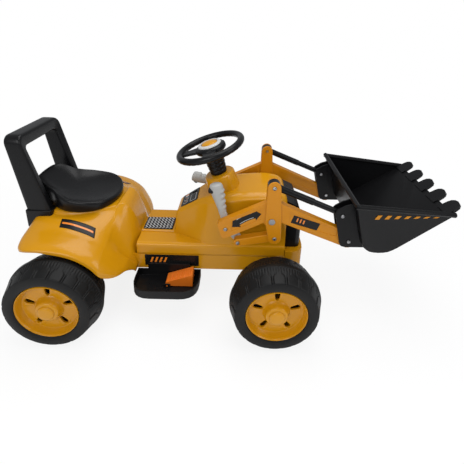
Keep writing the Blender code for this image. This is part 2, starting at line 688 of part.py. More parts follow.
def build_trim():
    """Tread plate, dash panel and nose grille."""
    low = (SPLIT_X + 0.003, PLATFORM_TOP + SEAT_GAP)
    plate = piece("tread_plate", *prism(rounded([(low[0], -TREAD_PLATE_HALF), (TREAD_PLATE_FRONT, -TREAD_PLATE_HALF),
                                                (TREAD_PLATE_FRONT, TREAD_PLATE_HALF), (low[0], TREAD_PLATE_HALF)],
                                                0.003), low[1], low[1] + 0.0022, "xy"), GREY)
    for k in range(TREAD_RIBS):
        x = low[0] + 0.007 + k * TREAD_RIB_PITCH
        zigzag = [(x - 0.0015, -0.025), (x + 0.0015, -0.025), (x + 0.0055, 0.0), (x + 0.0015, 0.025),
                  (x - 0.0015, 0.025), (x + 0.0025, 0.0)]
        join(plate, piece("tread_rib", *prism(zigzag, low[1] + 0.001, low[1] + 0.0032, "xy"), GREY))
    # The dash panel lies on the straight slope between the stations 0.276 and 0.345
    slope = math.atan2(table_value(0.345, HOOD_TOP) - table_value(0.276, HOOD_TOP), 0.345 - 0.276)
    start = Vector((PANEL_START, 0, table_value(PANEL_START, HOOD_TOP)))
    ahead, up = Vector((math.cos(slope), 0, math.sin(slope))), Vector((-math.sin(slope), 0, math.cos(slope)))
    outline = rounded([(0, -0.029), (PANEL_LENGTH, -0.034), (PANEL_LENGTH, 0.034), (0, 0.029)], 0.003)
    verts, faces = prism(outline, SEAT_GAP, SEAT_GAP + 0.0015, "xy")
    basis = Matrix((ahead, Vector((0, 1, 0)), up)).transposed()
    piece("dash_panel", [tuple(start + basis @ Vector(v)) for v in verts], faces, BLACK)
    build_grille()


def build_grille():
    """The black nose between hood and bumper, with level slots across its front."""
    rear = HOOD_FRONT + SEAT_GAP
    side_view = rounded([(rear, BUMPER_TOP + SEAT_GAP), (GRILLE_FRONT, BUMPER_TOP + SEAT_GAP), GRILLE_BROW, GRILLE_TOP,
                         (rear, GRILLE_REAR_TOP)], [0, 0.003, 0.03, 0.012, 0], 4)
    nose = piece("grille", *prism(side_view, -GRILLE_HALF, GRILLE_HALF, "xz"), BLACK)
    front, half = GRILLE_FRONT + 0.0025, GRILLE_HALF + 0.0015
    plan = prism(rounded([(rear - 0.01, -half), (front, -half), (front, half), (rear - 0.01, half)],
                         [0, 0.026, 0.026, 0], 6), BUMPER_TOP - 0.02, GRILLE_REAR_TOP + 0.02, "xy")
    trim = piece("grille_plan", *plan, BLACK)
    step = nose.modifiers.new("plan", "BOOLEAN")
    step.operation = "INTERSECT"
    step.solver = "EXACT"
    step.object = trim
    trim.hide_render = True
    trim.display_type = "WIRE"
    for k in range(GRILLE_SLOTS):
        z = BUMPER_TOP + 0.016 + k * GRILLE_SLOT_PITCH
        slot = box((GRILLE_FRONT - GRILLE_SLOT_DEPTH, -0.66 * GRILLE_HALF, z),
                   (GRILLE_FRONT + 0.01, 0.66 * GRILLE_HALF, z + 0.008))
        cut(nose, piece("grille_slot", *slot, BLACK))
    return nose


# Seat and handle

SEAT_PLAN = ((SEAT_REAR, 0.0), (-0.110, 0.030), (-0.100, 0.050), (-0.080, 0.063), (-0.050, 0.0665), (-0.037, 0.080),
             (-0.010, 0.092), (0.015, SEAT_HALF), (0.040, 0.093), (0.067, 0.082), (0.087, 0.060), (0.099, 0.030),
             (SEAT_FRONT, 0.0))
SEAT_LINE = ((-0.112, 0.360), (-0.095, 0.362), (-0.07, 0.347), (-0.035, 0.329), (0.0, 0.320), (0.05, 0.314),
             (0.09, 0.306), (0.103, 0.300))


def seat_ring(scale, lift, drop):
    """A ring of the seat: the plan shrunk by scale about its middle, at a height over the top line or level."""
    plan = list(SEAT_PLAN) + [(x, -y) for x, y in SEAT_PLAN[-2:0:-1]]
    middle = (SEAT_REAR + SEAT_FRONT) / 2
    ring = []
    for x, y in plan:
        px, py = middle + (x - middle) * scale, y * scale
        line = table_value(px, SEAT_LINE)
        level = SEAT_BASE_TOP + SEAT_GAP
        ring.append((px, py, level + lift * (line - level) - drop))
    return ring


def build_seat():
    """A dished saddle seat, raised at the back."""
    rings = [seat_ring(0.955, 0.0, 0.0), seat_ring(0.985, 0.12, 0.0), seat_ring(1.0, 0.5, 0.0),
             seat_ring(0.992, 0.82, 0.0), seat_ring(0.955, 0.97, 0.0), seat_ring(0.89, 1.0, 0.0),
             seat_ring(0.74, 1.0, 0.007), seat_ring(0.45, 1.0, 0.013), seat_ring(0.16, 1.0, 0.015)]
    verts, faces = loft(rings)
    return piece("seat", verts, [f[::-1] for f in faces], BLACK, smooth=60)


def build_handle():
    """The inverted U behind the seat: its outline in Y and Z, its depth set by the height."""
    outer, inner = HANDLE_HALF, HANDLE_HALF - HANDLE_SIDE
    foot, top = HANDLE_FOOT - 0.01, HANDLE_TOP
    outside = rounded([(-outer, foot), (-outer, top), (outer, top), (outer, foot)], [0, 0.018, 0.018, 0], 4)
    inside = rounded([(inner, foot), (inner, top - HANDLE_BAR), (-inner, top - HANDLE_BAR), (-inner, foot)],
                     [0, 0.012, 0.012, 0], 3)
    outline = outside + inside

    def depth(z):
        share = (z - HANDLE_FOOT) / (HANDLE_TOP - HANDLE_FOOT)
        rear = HANDLE_REAR_FOOT + share * (HANDLE_REAR_TOP - HANDLE_REAR_FOOT)
        return rear, rear + HANDLE_DEPTH_FOOT + share * (HANDLE_DEPTH_TOP - HANDLE_DEPTH_FOOT)

    back = [(depth(z)[0], y, z) for y, z in outline]
    front = [(depth(z)[1], y, z) for y, z in outline]
    count = len(outline)
    faces = [list(range(count)), list(range(count, 2 * count))[::-1]]
    faces += [(i + count, (i + 1) % count + count, (i + 1) % count, i) for i in range(count)]
    handle = piece("back_handle", back + front, faces, BLACK)
    round_edges(handle, 0.004, 1)
    for side in (RIGHT, LEFT):
        join(handle, round_edges(piece("handle_foot", *socket_block(side, 0.0), BLACK), 0.002, 1))
    return handle


# Footrests and pedal

def footrest_plan(side, grow=0.0):
    """A footrest in plan: straight at the tray, round outside."""
    inner = TRAY_HALF + SEAT_GAP - grow
    outer = FOOTREST_OUT + grow
    plan = [(FOOTREST_REAR - grow, side * inner), (FOOTREST_FRONT + grow, side * inner),
            (FOOTREST_FRONT + grow, side * outer), (FOOTREST_REAR - grow, side * outer)]
    return rounded(plan, [0.0, 0.0, FOOTREST_CORNER + grow, FOOTREST_CORNER + grow], 6)


def build_footrests():
    """The two half-round trays; the right one has the pedal's well."""
    for side, word in ((RIGHT, "right"), (LEFT, "left")):
        tray = piece(f"footrest_{word}", *prism(footrest_plan(side), FOOTREST_BOTTOM, FOOTREST_RIM, "xy"), BLACK)
        cut(tray, piece("footrest_hollow", *prism(footrest_plan(side, -FOOTREST_WALL), FOOTREST_BOTTOM + FOOTREST_WALL,
                                                  FOOTREST_RIM + 0.01, "xy"), BLACK))
        # A lug under the tray's wall carries the footrest
        low, high = sorted((side * (TRAY_HALF + SEAT_GAP), side * (TRAY_HALF + 0.008)))
        lug = piece("footrest_lug", *box((FOOTREST_REAR + 0.03, low, FOOTREST_RIM - 0.004),
                                         (FOOTREST_FRONT - 0.03, high, FOOTREST_RIM + 0.022)), BLACK)
        join(tray, lug)
        if side == RIGHT:
            margin = 0.0012
            well = box((PEDAL_REAR - margin, PEDAL_MIDDLE_Y - PEDAL_HALF - margin, FOOTREST_BOTTOM - 0.01),
                       (PEDAL_REAR + PEDAL_LENGTH + margin, PEDAL_MIDDLE_Y + PEDAL_HALF + margin,
                        FOOTREST_BOTTOM + FOOTREST_WALL + 0.02))
            cheek = []
            for wall in (PEDAL_MIDDLE_Y - PEDAL_HALF - margin - 0.003, PEDAL_MIDDLE_Y + PEDAL_HALF + margin):
                cheek.append(piece("pedal_cheek", *box((PEDAL_REAR - 0.004, wall, FOOTREST_BOTTOM + 0.001),
                                                       (PEDAL_REAR + 0.014, wall + 0.003, FOOTREST_BOTTOM + 0.013)),
                                   BLACK))
            join(tray, *cheek)
            pin_hole = piece("pedal_hole", *bore((pedal_axis()[0], PEDAL_MIDDLE_Y - 0.03, pedal_axis()[1]),
                                                 (pedal_axis()[0], PEDAL_MIDDLE_Y + 0.03, pedal_axis()[1]),
                                                 PEDAL_PIN), BLACK)
            cut(tray, piece("pedal_well", *well, BLACK), pin_hole)


def pedal_axis():
    """X and Z of the pedal's hinge pin."""
    return PEDAL_REAR + 0.006, FOOTREST_BOTTOM + FOOTREST_WALL + PEDAL_LIFT + 0.0035


def build_pedal():
    """The orange wedge: hinged at the heel, raised at the toe, with grip ribs across its slope."""
    axis = pedal_axis()
    carrier = frame("pedal_pivot", (axis[0], PEDAL_MIDDLE_Y, axis[1]), VEHICLE)
    base = FOOTREST_BOTTOM + FOOTREST_WALL + PEDAL_LIFT
    end = PEDAL_REAR + PEDAL_LENGTH
    side_view = rounded([(PEDAL_REAR, base), (end, base), (end, base + PEDAL_RISE),
                         (PEDAL_REAR + 0.002, base + 0.012)], [0.003, 0.0015, 0.004, 0.003], 3)
    pedal = piece("pedal", *prism(side_view, PEDAL_MIDDLE_Y - PEDAL_HALF, PEDAL_MIDDLE_Y + PEDAL_HALF, "xz"),
                  ORANGE, carrier)
    for k in range(5):
        x = PEDAL_REAR + 0.016 + k * 0.012
        z = base + 0.012 + (x - PEDAL_REAR) / PEDAL_LENGTH * (PEDAL_RISE - 0.012)
        rib = box((x, PEDAL_MIDDLE_Y - PEDAL_HALF + 0.003, z - 0.004), (x + 0.003, PEDAL_MIDDLE_Y + PEDAL_HALF - 0.003,
                                                                      z + 0.0022))
        join(pedal, piece("pedal_rib", *rib, ORANGE, carrier))
    pin = bar((axis[0], PEDAL_MIDDLE_Y - PEDAL_HALF - 0.0036, axis[1]),
              (axis[0], PEDAL_MIDDLE_Y + PEDAL_HALF + 0.0036, axis[1]), PEDAL_PIN, 12)
    join(pedal, piece("pedal_pin", *pin, ORANGE, carrier))
    return pedal


# Wheels

def on_wheel_axis(verts, place, side):
    """Puts points turned about Z onto a wheel's axis, with their +Z pointing outwards."""
    return along(verts, place, (0, side, 0))


def tyre_solid():
    """The tyre's ring: a raised rib round the middle, and sloping shoulders with broad shallow lugs."""
    w = TYRE_WIDTH / 2
    # Offset, radius, and how much of the groove's depth is cut there
    half = [(0.93 * w, RIM_RADIUS + TYRE_FIT, 0), (w, SIDE_WALL_RADIUS, 0),
            (SHOULDER_HALF_WIDTH + 0.0008, SHOULDER_RADIUS - 0.0035, 0), (SHOULDER_HALF_WIDTH, SHOULDER_RADIUS, 1),
            (RIDGE_HALF + 0.0026, TYRE_RADIUS - 0.0015, 1), (RIDGE_HALF, TYRE_RADIUS, 0)]
    profile = half + [(-s, r, d) for s, r, d in half[::-1]]
    steps = TREAD_LUGS * 2
    verts = []
    for k in range(steps):
        t = 2 * math.pi * k / steps - math.pi / 2
        for s, r, d in profile:
            radius = r - (TREAD_DEPTH * d if k % 2 else 0)
            verts.append((radius * math.cos(t), radius * math.sin(t), s))
    count = len(profile)
    faces = [(a * count + i, a * count + (i + 1) % count, b * count + (i + 1) % count, b * count + i)
             for a, b in ((k, (k + 1) % steps) for k in range(steps)) for i in range(count)]
    return np.array(verts), faces


def rim_profile():
    """The rim's section: barrel, dished disc, hub boss and bore, as (radius, offset outwards)."""
    w = TYRE_WIDTH / 2
    inner = (AXLE_RADIUS + RUNNING_GAP) / math.cos(math.pi / RIM_STEPS)
    return [(RIM_RADIUS, w - 0.002), (RIM_RADIUS, -w + 0.009), (RIM_RADIUS - RIM_WALL, -w + 0.009),
            (RIM_RADIUS - RIM_WALL, 0.0240), (0.019, 0.0240), (0.016, -0.040), (inner, -0.040), (inner, w - 0.0015),
            (HUB_BOSS_RADIUS, w - 0.0015), (0.034, 0.0285), (0.064, 0.0285), (RIM_RADIUS - RIM_WALL, w - 0.0015)]


def build_wheel(word, place, side, carrier):
    """Tyre, rim with five oval slots, and hub cap."""
    verts, faces = tyre_solid()
    piece(f"tyre_{word}", on_wheel_axis(verts, place, side), faces, TYRE, carrier, smooth=25)
    verts, faces = turned(rim_profile(), RIM_STEPS)
    rim = piece(f"rim_{word}", on_wheel_axis(verts, place, side), faces, YELLOW, carrier, smooth=30)
    for k in range(RIM_SLOTS):
        middle = math.radians(90 + k * 360 / RIM_SLOTS)
        far, wide = RIM_SLOT_LENGTH / 2, RIM_SLOT_WIDTH / 2
        outline = rounded([(-far, -wide), (far, -wide), (far, wide), (-far, wide)], 0.85 * wide, 2)
        spun = [((RIM_SLOT_RADIUS + a) * math.cos(middle) - b * math.sin(middle),
                 (RIM_SLOT_RADIUS + a) * math.sin(middle) + b * math.cos(middle)) for a, b in outline]
        cutter, cut_faces = prism(spun, 0.015, 0.045, "xy")
        cut(rim, piece("rim_slot", on_wheel_axis(cutter, place, side), cut_faces, YELLOW, carrier))
    seat = TYRE_WIDTH / 2 - 0.0015 + SEAT_GAP
    verts, faces = turned([(HUB_CAP_RADIUS, seat), (HUB_CAP_RADIUS, seat + HUB_CAP_HEIGHT * 0.55),
                           (HUB_CAP_RADIUS * 0.84, seat + HUB_CAP_HEIGHT)], 14, close=False)
    piece(f"hub_cap_{word}", on_wheel_axis(verts, place, side), faces, YELLOW, carrier, smooth=30)


def build_rear_axle():
    """The rear axle with its spacers, the gearbox on it and the motor on the gearbox."""
    end = WHEEL_CENTRE_Y + TYRE_WIDTH / 2 - 0.003
    axle = piece("rear_axle", *bar((0, -end, AXLE_Z), (0, end, AXLE_Z), AXLE_RADIUS, 16), STEEL)
    for side in (RIGHT, LEFT):
        spacer = bar((0, side * (TRAY_HALF + 0.0005), AXLE_Z), (0, side * (WHEEL_CENTRE_Y - 0.0405), AXLE_Z), 0.009, 16)
        join(axle, piece("axle_spacer", *spacer, STEEL))
    outline = hull_of_discs([((0.0, AXLE_Z), 0.026), ((0.040, AXLE_Z + 0.012), 0.020)], 10)
    gearbox = piece("gear_motor", *prism(outline, 0.012, 0.050, "xz"), BLACK)
    motor = bar((0.040, 0.020, AXLE_Z + 0.012), (0.040, -0.044, AXLE_Z + 0.012), 0.0165, 20)
    nose = bar((0.040, -0.042, AXLE_Z + 0.012), (0.040, -0.050, AXLE_Z + 0.012), 0.006, 12)
    join(gearbox, piece("motor_can", *motor, MOTOR), piece("motor_nose", *nose, MOTOR))
    cut(gearbox, piece("gearbox_bore", *bore((0, 0, AXLE_Z), (0, 0.06, AXLE_Z), AXLE_RADIUS, 14), BLACK))


def build_battery():
    """A six volt block on the tray's floor, with its two terminals."""
    length, width, height = BATTERY_SIZE
    low, high = (BATTERY_REAR, -width / 2, FLOOR_TOP + SEAT_GAP), (BATTERY_REAR + length, width / 2, FLOOR_TOP + height)
    battery = round_edges(piece("battery", *box(low, high), BLACK), 0.002, 1)
    for y in (-0.018, 0.018):
        terminal = box((high[0] - 0.016, y - 0.003, high[2] - 0.002), (high[0] - 0.015, y + 0.003, high[2] + 0.007))
        join(battery, piece("terminal", *terminal, BLACK))


# Steering

def build_front_axle():
    """The beam under the tray with its kingpin lugs, both knuckles and the tie rod."""
    half = BEAM_PLATE * 2.6
    plate_top = TRAY_BOTTOM - SEAT_GAP
    reach = KINGPIN_Y + 0.015
    outline = rounded([(WHEELBASE - half, -reach), (WHEELBASE + half, -reach), (WHEELBASE + half, reach),
                       (WHEELBASE - half, reach)], 0.013, 3)
    beam = piece("front_axle_beam", *prism(outline, plate_top - BEAM_PLATE, plate_top, "xy"), BLACK)
    for side in (RIGHT, LEFT):
        web = sorted((side * (TRAY_HALF + SEAT_GAP), side * (TRAY_HALF + 0.006)))
        lug = sorted((side * (TRAY_HALF + SEAT_GAP), side * reach))
        join(beam, piece("beam_web", *box((WHEELBASE - half + 0.002, web[0], plate_top - 0.002),
                                          (WHEELBASE + half - 0.002, web[1], BEAM_LUG_BOTTOM + 0.002)), BLACK),
             piece("beam_lug", *prism(rounded([(WHEELBASE - half, lug[0]), (WHEELBASE + half, lug[0]),
                                               (WHEELBASE + half, lug[1]), (WHEELBASE - half, lug[1])], 0.005, 1),
                                      BEAM_LUG_BOTTOM, BEAM_LUG_BOTTOM + BEAM_PLATE, "xy"), BLACK))
        hole = bore((WHEELBASE, side * KINGPIN_Y, 0.09), (WHEELBASE, side * KINGPIN_Y, 0.16), KINGPIN_RADIUS, 12)
        cut(beam, piece("kingpin_bore", *hole, BLACK))
    carriers = {}
    for side, word in ((RIGHT, "right"), (LEFT, "left")):
        carriers[word] = build_knuckle(side, word)
    build_tie_rod(carriers["right"])
    return carriers


def build_knuckle(side, word):
    """A steering knuckle: barrel with its kingpin, stub axle, steering arm and tie rod pin."""
    y = side * KINGPIN_Y
    carrier = frame(f"knuckle_pivot_{word}", (WHEELBASE, y, AXLE_Z), VEHICLE)
    top = BEAM_LUG_BOTTOM - SIDE_GAP
    body = piece(f"knuckle_{word}", *bar((WHEELBASE, y, KNUCKLE_BOTTOM), (WHEELBASE, y, top), KNUCKLE_RADIUS, 12),
                 BLACK, carrier)
    stub_end = side * (WHEEL_CENTRE_Y + TYRE_WIDTH / 2 - 0.003)
    stub = bar((WHEELBASE, side * (KINGPIN_Y + 0.0075), AXLE_Z), (WHEELBASE, stub_end, AXLE_Z), AXLE_RADIUS, 12)
    collar = bar((WHEELBASE, side * (KINGPIN_Y + 0.009), AXLE_Z), (WHEELBASE, side * (WHEEL_CENTRE_Y - 0.0405), AXLE_Z),
                 0.0068, 10)
    arm = hull_of_discs([((WHEELBASE - STEERING_ARM, y), 0.0065), ((WHEELBASE, y), 0.009)], 5)
    arm_top = KNUCKLE_BOTTOM + 0.006
    pin = bar((WHEELBASE - STEERING_ARM, y, KNUCKLE_BOTTOM + 0.002),
              (WHEELBASE - STEERING_ARM, y, TIE_ROD_TOP - TIE_ROD_THICKNESS - 0.001), TIE_PIN, 8)
    join(body, piece("knuckle_collar", *collar, BLACK, carrier), piece("knuckle_stub", *stub, BLACK, carrier),
         piece("knuckle_arm", *prism(arm, KNUCKLE_BOTTOM, arm_top, "xy"), BLACK, carrier),
         piece("knuckle_pin", *pin, BLACK, carrier))
    low, high = TRAY_BOTTOM - SEAT_GAP - BEAM_PLATE - 0.001, BEAM_LUG_BOTTOM + BEAM_PLATE + SIDE_GAP
    kingpin = bar((WHEELBASE, y, low), (WHEELBASE, y, high + 0.001), KINGPIN_RADIUS, 12)
    head = bar((WHEELBASE, y, high), (WHEELBASE, y, high + 0.003), 0.009, 10)
    join(body, piece("kingpin", *kingpin, STEEL, carrier), piece("kingpin_head", *head, STEEL, carrier))
    return carrier


def crank_pin_foot():
    """Where the crank's pin crosses the tie rod's middle height."""
    start = column_point(CRANK_Z) - Vector((math.cos(COLUMN_TILT), 0, math.sin(COLUMN_TILT))) * CRANK_LENGTH
    height = TIE_ROD_TOP - TIE_ROD_THICKNESS / 2
    return start - COLUMN_AXIS * ((start.z - height) / COLUMN_AXIS.z)


def build_tie_rod(knuckle):
    """The flat bar between the steering arms, with a slotted tongue for the crank's pin."""
    x = WHEELBASE - STEERING_ARM
    carrier = frame("tie_rod_pivot", (x, -KINGPIN_Y, TIE_ROD_TOP), knuckle)
    low, high = TIE_ROD_TOP - TIE_ROD_THICKNESS, TIE_ROD_TOP
    outline = hull_of_discs([((x, -KINGPIN_Y), TIE_ROD_WIDTH / 2), ((x, KINGPIN_Y), TIE_ROD_WIDTH / 2)], 5)
    rod = piece("tie_rod", *prism(outline, low, high, "xy"), STEEL, carrier)
    foot = crank_pin_foot()
    tongue = hull_of_discs([((foot.x - 0.004, 0), 0.012), ((x, 0), 0.012)], 5)
    join(rod, piece("tie_tongue", *prism(tongue, low, high, "xy"), STEEL, carrier))
    slot = hull_of_discs([((foot.x - 0.004, 0), CRANK_PIN + 0.0012), ((foot.x + 0.010, 0), CRANK_PIN + 0.0012)], 4)
    cut(rod, piece("tie_slot", *prism(slot, low - 0.01, high + 0.01, "xy"), STEEL, carrier))
    for side in (RIGHT, LEFT):
        hole = bar((x, side * KINGPIN_Y, low - 0.01), (x, side * KINGPIN_Y, high + 0.01), TIE_PIN + 0.0006, 10)
        cut(rod, piece("tie_hole", *hole, STEEL, carrier))


def build_steering():
    """Steering wheel, horn and shaft, in the column's own frame with Z up the column."""
    place = (WHEEL_HUB[0], 0, WHEEL_HUB[1])
    carrier = frame("steering_pivot", place, VEHICLE, -COLUMN_TILT)
    ring = [(STEERING_RADIUS + STEERING_TUBE * math.cos(t), STEERING_TUBE * math.sin(t))
            for t in np.linspace(0, 2 * math.pi, 8, endpoint=False)]
    wheel = piece("steering_wheel", *turned(ring, 30), BLACK, carrier, local=True)
    hub_low = -0.020
    hub = turned([(BOOT_HIGH_RADIUS, hub_low), (STEERING_HUB_RADIUS, -0.008), (STEERING_HUB_RADIUS, 0.002),
                  (HORN_RING_OUTER + 0.002, 0.0075)], 20, close=False)
    join(wheel, piece("steering_hub", *hub, BLACK, carrier, local=True))
    for angle in (90, 270, 180):
        turn = math.radians(angle)
        reach = [(STEERING_HUB_RADIUS - 0.008, 0.021), (STEERING_RADIUS - 0.002, 0.013)]
        outline = [(reach[0][0], -reach[0][1]), (reach[1][0], -reach[1][1]), (reach[1][0], reach[1][1]),
                   (reach[0][0], reach[0][1])]
        spun = [(a * math.cos(turn) - b * math.sin(turn), a * math.sin(turn) + b * math.cos(turn)) for a, b in outline]
        join(wheel, piece("steering_spoke", *prism(spun, -0.006, 0.0015, "xy"), BLACK, carrier, local=True))
    well = turned([(HORN_BUTTON_RADIUS + 0.0008, -0.002), (HORN_BUTTON_RADIUS + 0.0008, 0.02)], 18, close=False)
    cut(wheel, piece("horn_well", *well, BLACK, carrier, local=True))
    inner, low = HORN_BUTTON_RADIUS + 0.0008, 0.0075 + SEAT_GAP
    horn_ring = [(inner, low), (HORN_RING_OUTER, low), (HORN_RING_OUTER - 0.001, low + 0.0030),
                 (inner + 0.002, low + 0.0055), (inner, low + 0.0050)]
    piece("horn_ring", *turned(horn_ring, 20), GREY, carrier, local=True)
    button_place = Vector(place) + COLUMN_AXIS * 0.002
    button = frame("horn_pivot", button_place, VEHICLE, -COLUMN_TILT)
    shape = [(HORN_BUTTON_RADIUS, 0.0), (HORN_BUTTON_RADIUS, 0.0110), (HORN_BUTTON_RADIUS * 0.86, 0.0138),
             (HORN_BUTTON_RADIUS * 0.5, 0.0152)]
    piece("horn_button", *turned(shape, 18, close=False), YELLOW, button, local=True)
    down = (WHEEL_HUB[1] - CRANK_Z) / math.cos(COLUMN_TILT)
    top = hub_low - SEAT_GAP
    shaft = piece("steering_shaft", *bar((0, 0, -down - 0.006), (0, 0, top), SHAFT_RADIUS, 14), STEEL, carrier,
                  local=True)
    arm = hull_of_discs([((0, 0), 0.0085), ((-CRANK_LENGTH, 0), 0.0065)], 8)
    pin_end = (crank_pin_foot() - Vector(place)).dot(COLUMN_AXIS) - 0.004
    join(shaft, piece("crank_arm", *prism(arm, -down - 0.0045, -down + 0.0015, "xy"), STEEL, carrier, local=True),
         piece("crank_pin", *bar((-CRANK_LENGTH, 0, -down - 0.002), (-CRANK_LENGTH, 0, pin_end), CRANK_PIN, 12),
               STEEL, carrier, local=True))
    build_boot(carrier, hub_low, place)


def build_boot(carrier, hub_low, place):
    """The ridged sleeve round the column, between the boss and the wheel's hub."""
    low = (column_point(BOSS_TOP_Z) - Vector(place)).dot(COLUMN_AXIS) + SEAT_GAP
    high = hub_low - SEAT_GAP
    outside = []
    for k in range(BOOT_RIBS * 2 + 1):
        share = k / (BOOT_RIBS * 2)
        radius = BOOT_LOW_RADIUS + share * (BOOT_HIGH_RADIUS - BOOT_LOW_RADIUS)
        outside.append((radius - (0.0016 if k % 2 else 0.0), low + share * (high - low)))
    inner = SHAFT_RADIUS + COLUMN_GAP
    column = frame("boot_frame", place, VEHICLE, -COLUMN_TILT)
    piece("column_boot", *turned([(inner, low)] + outside + [(inner, high)], 18), BLACK, column, local=True)


# Loader

def bolt(name, centre, start, end, side, carrier):
    """A bolt across the vehicle from |Y| start to end, with a flat head outside each of those faces."""
    x, z = centre
    head = BOLT_HEAD_RADIUS
    length = end - start
    profile = [(head * 0.9, -BOLT_HEAD), (head, 0), (BOLT_RADIUS, 0), (BOLT_RADIUS, length), (head, length),
               (head * 0.9, length + BOLT_HEAD)]
    verts, faces = turned(profile, 8, close=False)
    return piece(name, along(verts, (x, side * start, z), (0, side, 0)), faces, STEEL, carrier)


def arm_outline(half_rear, half_apex, half_front, shorten=0.0):
    """The bent arm: a rear bar up to the apex, a front bar down to the bucket's pivot, a lobe round the axle."""
    rear, apex, front = np.array(PIVOT_P), np.array(ARM_APEX), np.array(PIVOT_B)
    rear_way, front_way = (apex - rear) / np.linalg.norm(apex - rear), (front - apex) / np.linalg.norm(front - apex)
    rear_up, front_up = np.array([-rear_way[1], rear_way[0]]), np.array([-front_way[1], front_way[0]])
    upper = [rear - rear_way * (0.012 - shorten) + rear_up * half_rear, apex + (rear_up + front_up) / 2 * half_apex,
             front + front_up * half_front * 0.86]
    lower = [rear - rear_way * (0.022 - shorten) - rear_up * half_rear, apex - (rear_up + front_up) / 2 * half_apex,
             front - front_up * half_front * 0.86]
    return [tuple(p) for p in (upper[0], upper[1], upper[2], lower[2], lower[1], lower[0])]


def build_arm(side, word, carrier):
    """One loader arm with a pressed panel on each face and three pivot holes."""
    corners = arm_outline(ARM_HALF_REAR, ARM_HALF_APEX, ARM_HALF_FRONT)
    outline = rounded(corners, [0.008, 0.010, 0.004, 0.004, 0.0, 0.012], 4)
    low, high = sorted((side * ARM_IN, side * ARM_OUT))
    arm = piece(f"boom_{word}", *prism(outline, low, high, "xz"), YELLOW, carrier)
    end = prism(circle(PIVOT_B, ARM_HALF_FRONT * 0.9, 18), low, high, "xz")
    lobe = prism(circle(PIVOT_O, 0.021, 18), low, high, "xz")
    join(arm, piece("arm_end", *end, YELLOW, carrier), piece("arm_lobe", *lobe, YELLOW, carrier))
    for face in (ARM_IN, ARM_OUT):
        depth = sorted((side * (face - PANEL_DEPTH), side * (face + PANEL_DEPTH)))
        for panel in (ARM_PANEL_FRONT, ARM_PANEL_REAR):
            cut(arm, piece("arm_panel", *prism(panel, *depth, "xz"), YELLOW, carrier))
    for (x, z), radius in ((PIVOT_O, AXLE_RADIUS), (PIVOT_P, BOLT_RADIUS), (PIVOT_B, BOLT_RADIUS)):
        hole = bore((x, side * (ARM_IN - 0.02), z), (x, side * (ARM_OUT + 0.02), z), radius)
        cut(arm, piece("arm_hole", *hole, YELLOW, carrier))
    return arm


def build_rocker(side, word, carrier):
    """A pair of bent plates on the arm's two faces, with the bolts at their ends."""
    corners = hull_of_discs([(PIVOT_T, ROCKER_END), ((PIVOT_O[0] + 0.004, PIVOT_O[1]), ROCKER_END + 0.004),
                             (PIVOT_K, ROCKER_END)], 7)
    for which, low in (("inner", INNER_PLATE_IN), ("outer", OUTER_PLATE_IN)):
        reach = sorted((side * low, side * (low + PLATE)))
        plate = piece(f"rocker_{which}_{word}", *prism(corners, *reach, "xz"), ORANGE, carrier)
        for (x, z), radius in ((PIVOT_O, AXLE_RADIUS), (PIVOT_T, BOLT_RADIUS), (PIVOT_K, BOLT_RADIUS)):
            hole = bore((x, side * (low - 0.01), z), (x, side * (low + PLATE + 0.01), z), radius)
            cut(plate, piece("rocker_hole", *hole, ORANGE, carrier))
    start, end = INNER_PLATE_IN - SIDE_GAP, OUTER_PLATE_OUT + SIDE_GAP
    bolt(f"rocker_bolt_top_{word}", PIVOT_T, start, end, side, carrier)
    bolt(f"rocker_bolt_low_{word}", PIVOT_K, start, end, side, carrier)


def build_push_rod(side, word, parent):
    """A push rod: eye on the rocker, thick barrel, thinner rod and eye on the bucket."""
    carrier = frame(f"rod_pivot_{word}", (PIVOT_T[0], side * ARM_MIDDLE, PIVOT_T[1]), parent)
    y = side * ARM_MIDDLE
    start, end = Vector((PIVOT_T[0], y, PIVOT_T[1])), Vector((PIVOT_U[0], y, PIVOT_U[1]))
    way = (end - start).normalized()
    length = (end - start).length
    low, high = sorted((side * ARM_IN, side * ARM_OUT))
    rod = piece(f"push_rod_{word}", *prism(circle(PIVOT_T, ROCKER_END - 0.0005, 14), low, high, "xz"), BLACK, carrier)
    step = start + way * length * BARREL_SHARE
    barrel = bar(start + way * 0.008, step, min(BARREL_RADIUS, ARM_THICKNESS / 2 - 0.0002), 12)
    slim = bar(step - way * 0.006, end - way * 0.006, PUSH_ROD_RADIUS, 12)
    eye = prism(circle(PIVOT_U, ROD_EYE_FRONT, 14), low, high, "xz")
    join(rod, piece("rod_barrel", *barrel, BLACK, carrier), piece("rod_slim", *slim, BLACK, carrier),
         piece("rod_eye", *eye, BLACK, carrier))
    for (x, z), slack in ((PIVOT_T, 0.0), (PIVOT_U, ROD_SLACK)):
        hole = bore((x, side * (ARM_IN - 0.01), z), (x, side * (ARM_OUT + 0.01), z), BOLT_RADIUS + slack)
        cut(rod, piece("rod_hole", *hole, BLACK, carrier))


def lever_section(share):
    """Half width fore and aft, half thickness and forward bow of the grip at a share of its length."""
    width = table_value(share, ((0, 0.0085), (0.22, 0.0088), (0.40, 0.0110), (0.60, 0.0140), (0.80, 0.0175),
                                (0.92, 0.0170), (0.98, 0.0110), (1.0, 0.0060)))
    thick = table_value(share, ((0, LEVER_PLATE * 0.44), (0.28, LEVER_PLATE * 0.44), (0.38, 0.0092), (0.55, 0.0112),
                                (0.8, 0.0135), (0.93, 0.0125), (0.98, 0.0085), (1.0, 0.0045)))
    groove = 0.0016 * math.cos((share - 0.42) * 2 * math.pi / 0.135) if 0.38 < share < 0.83 else 0.0
    return width, thick, groove


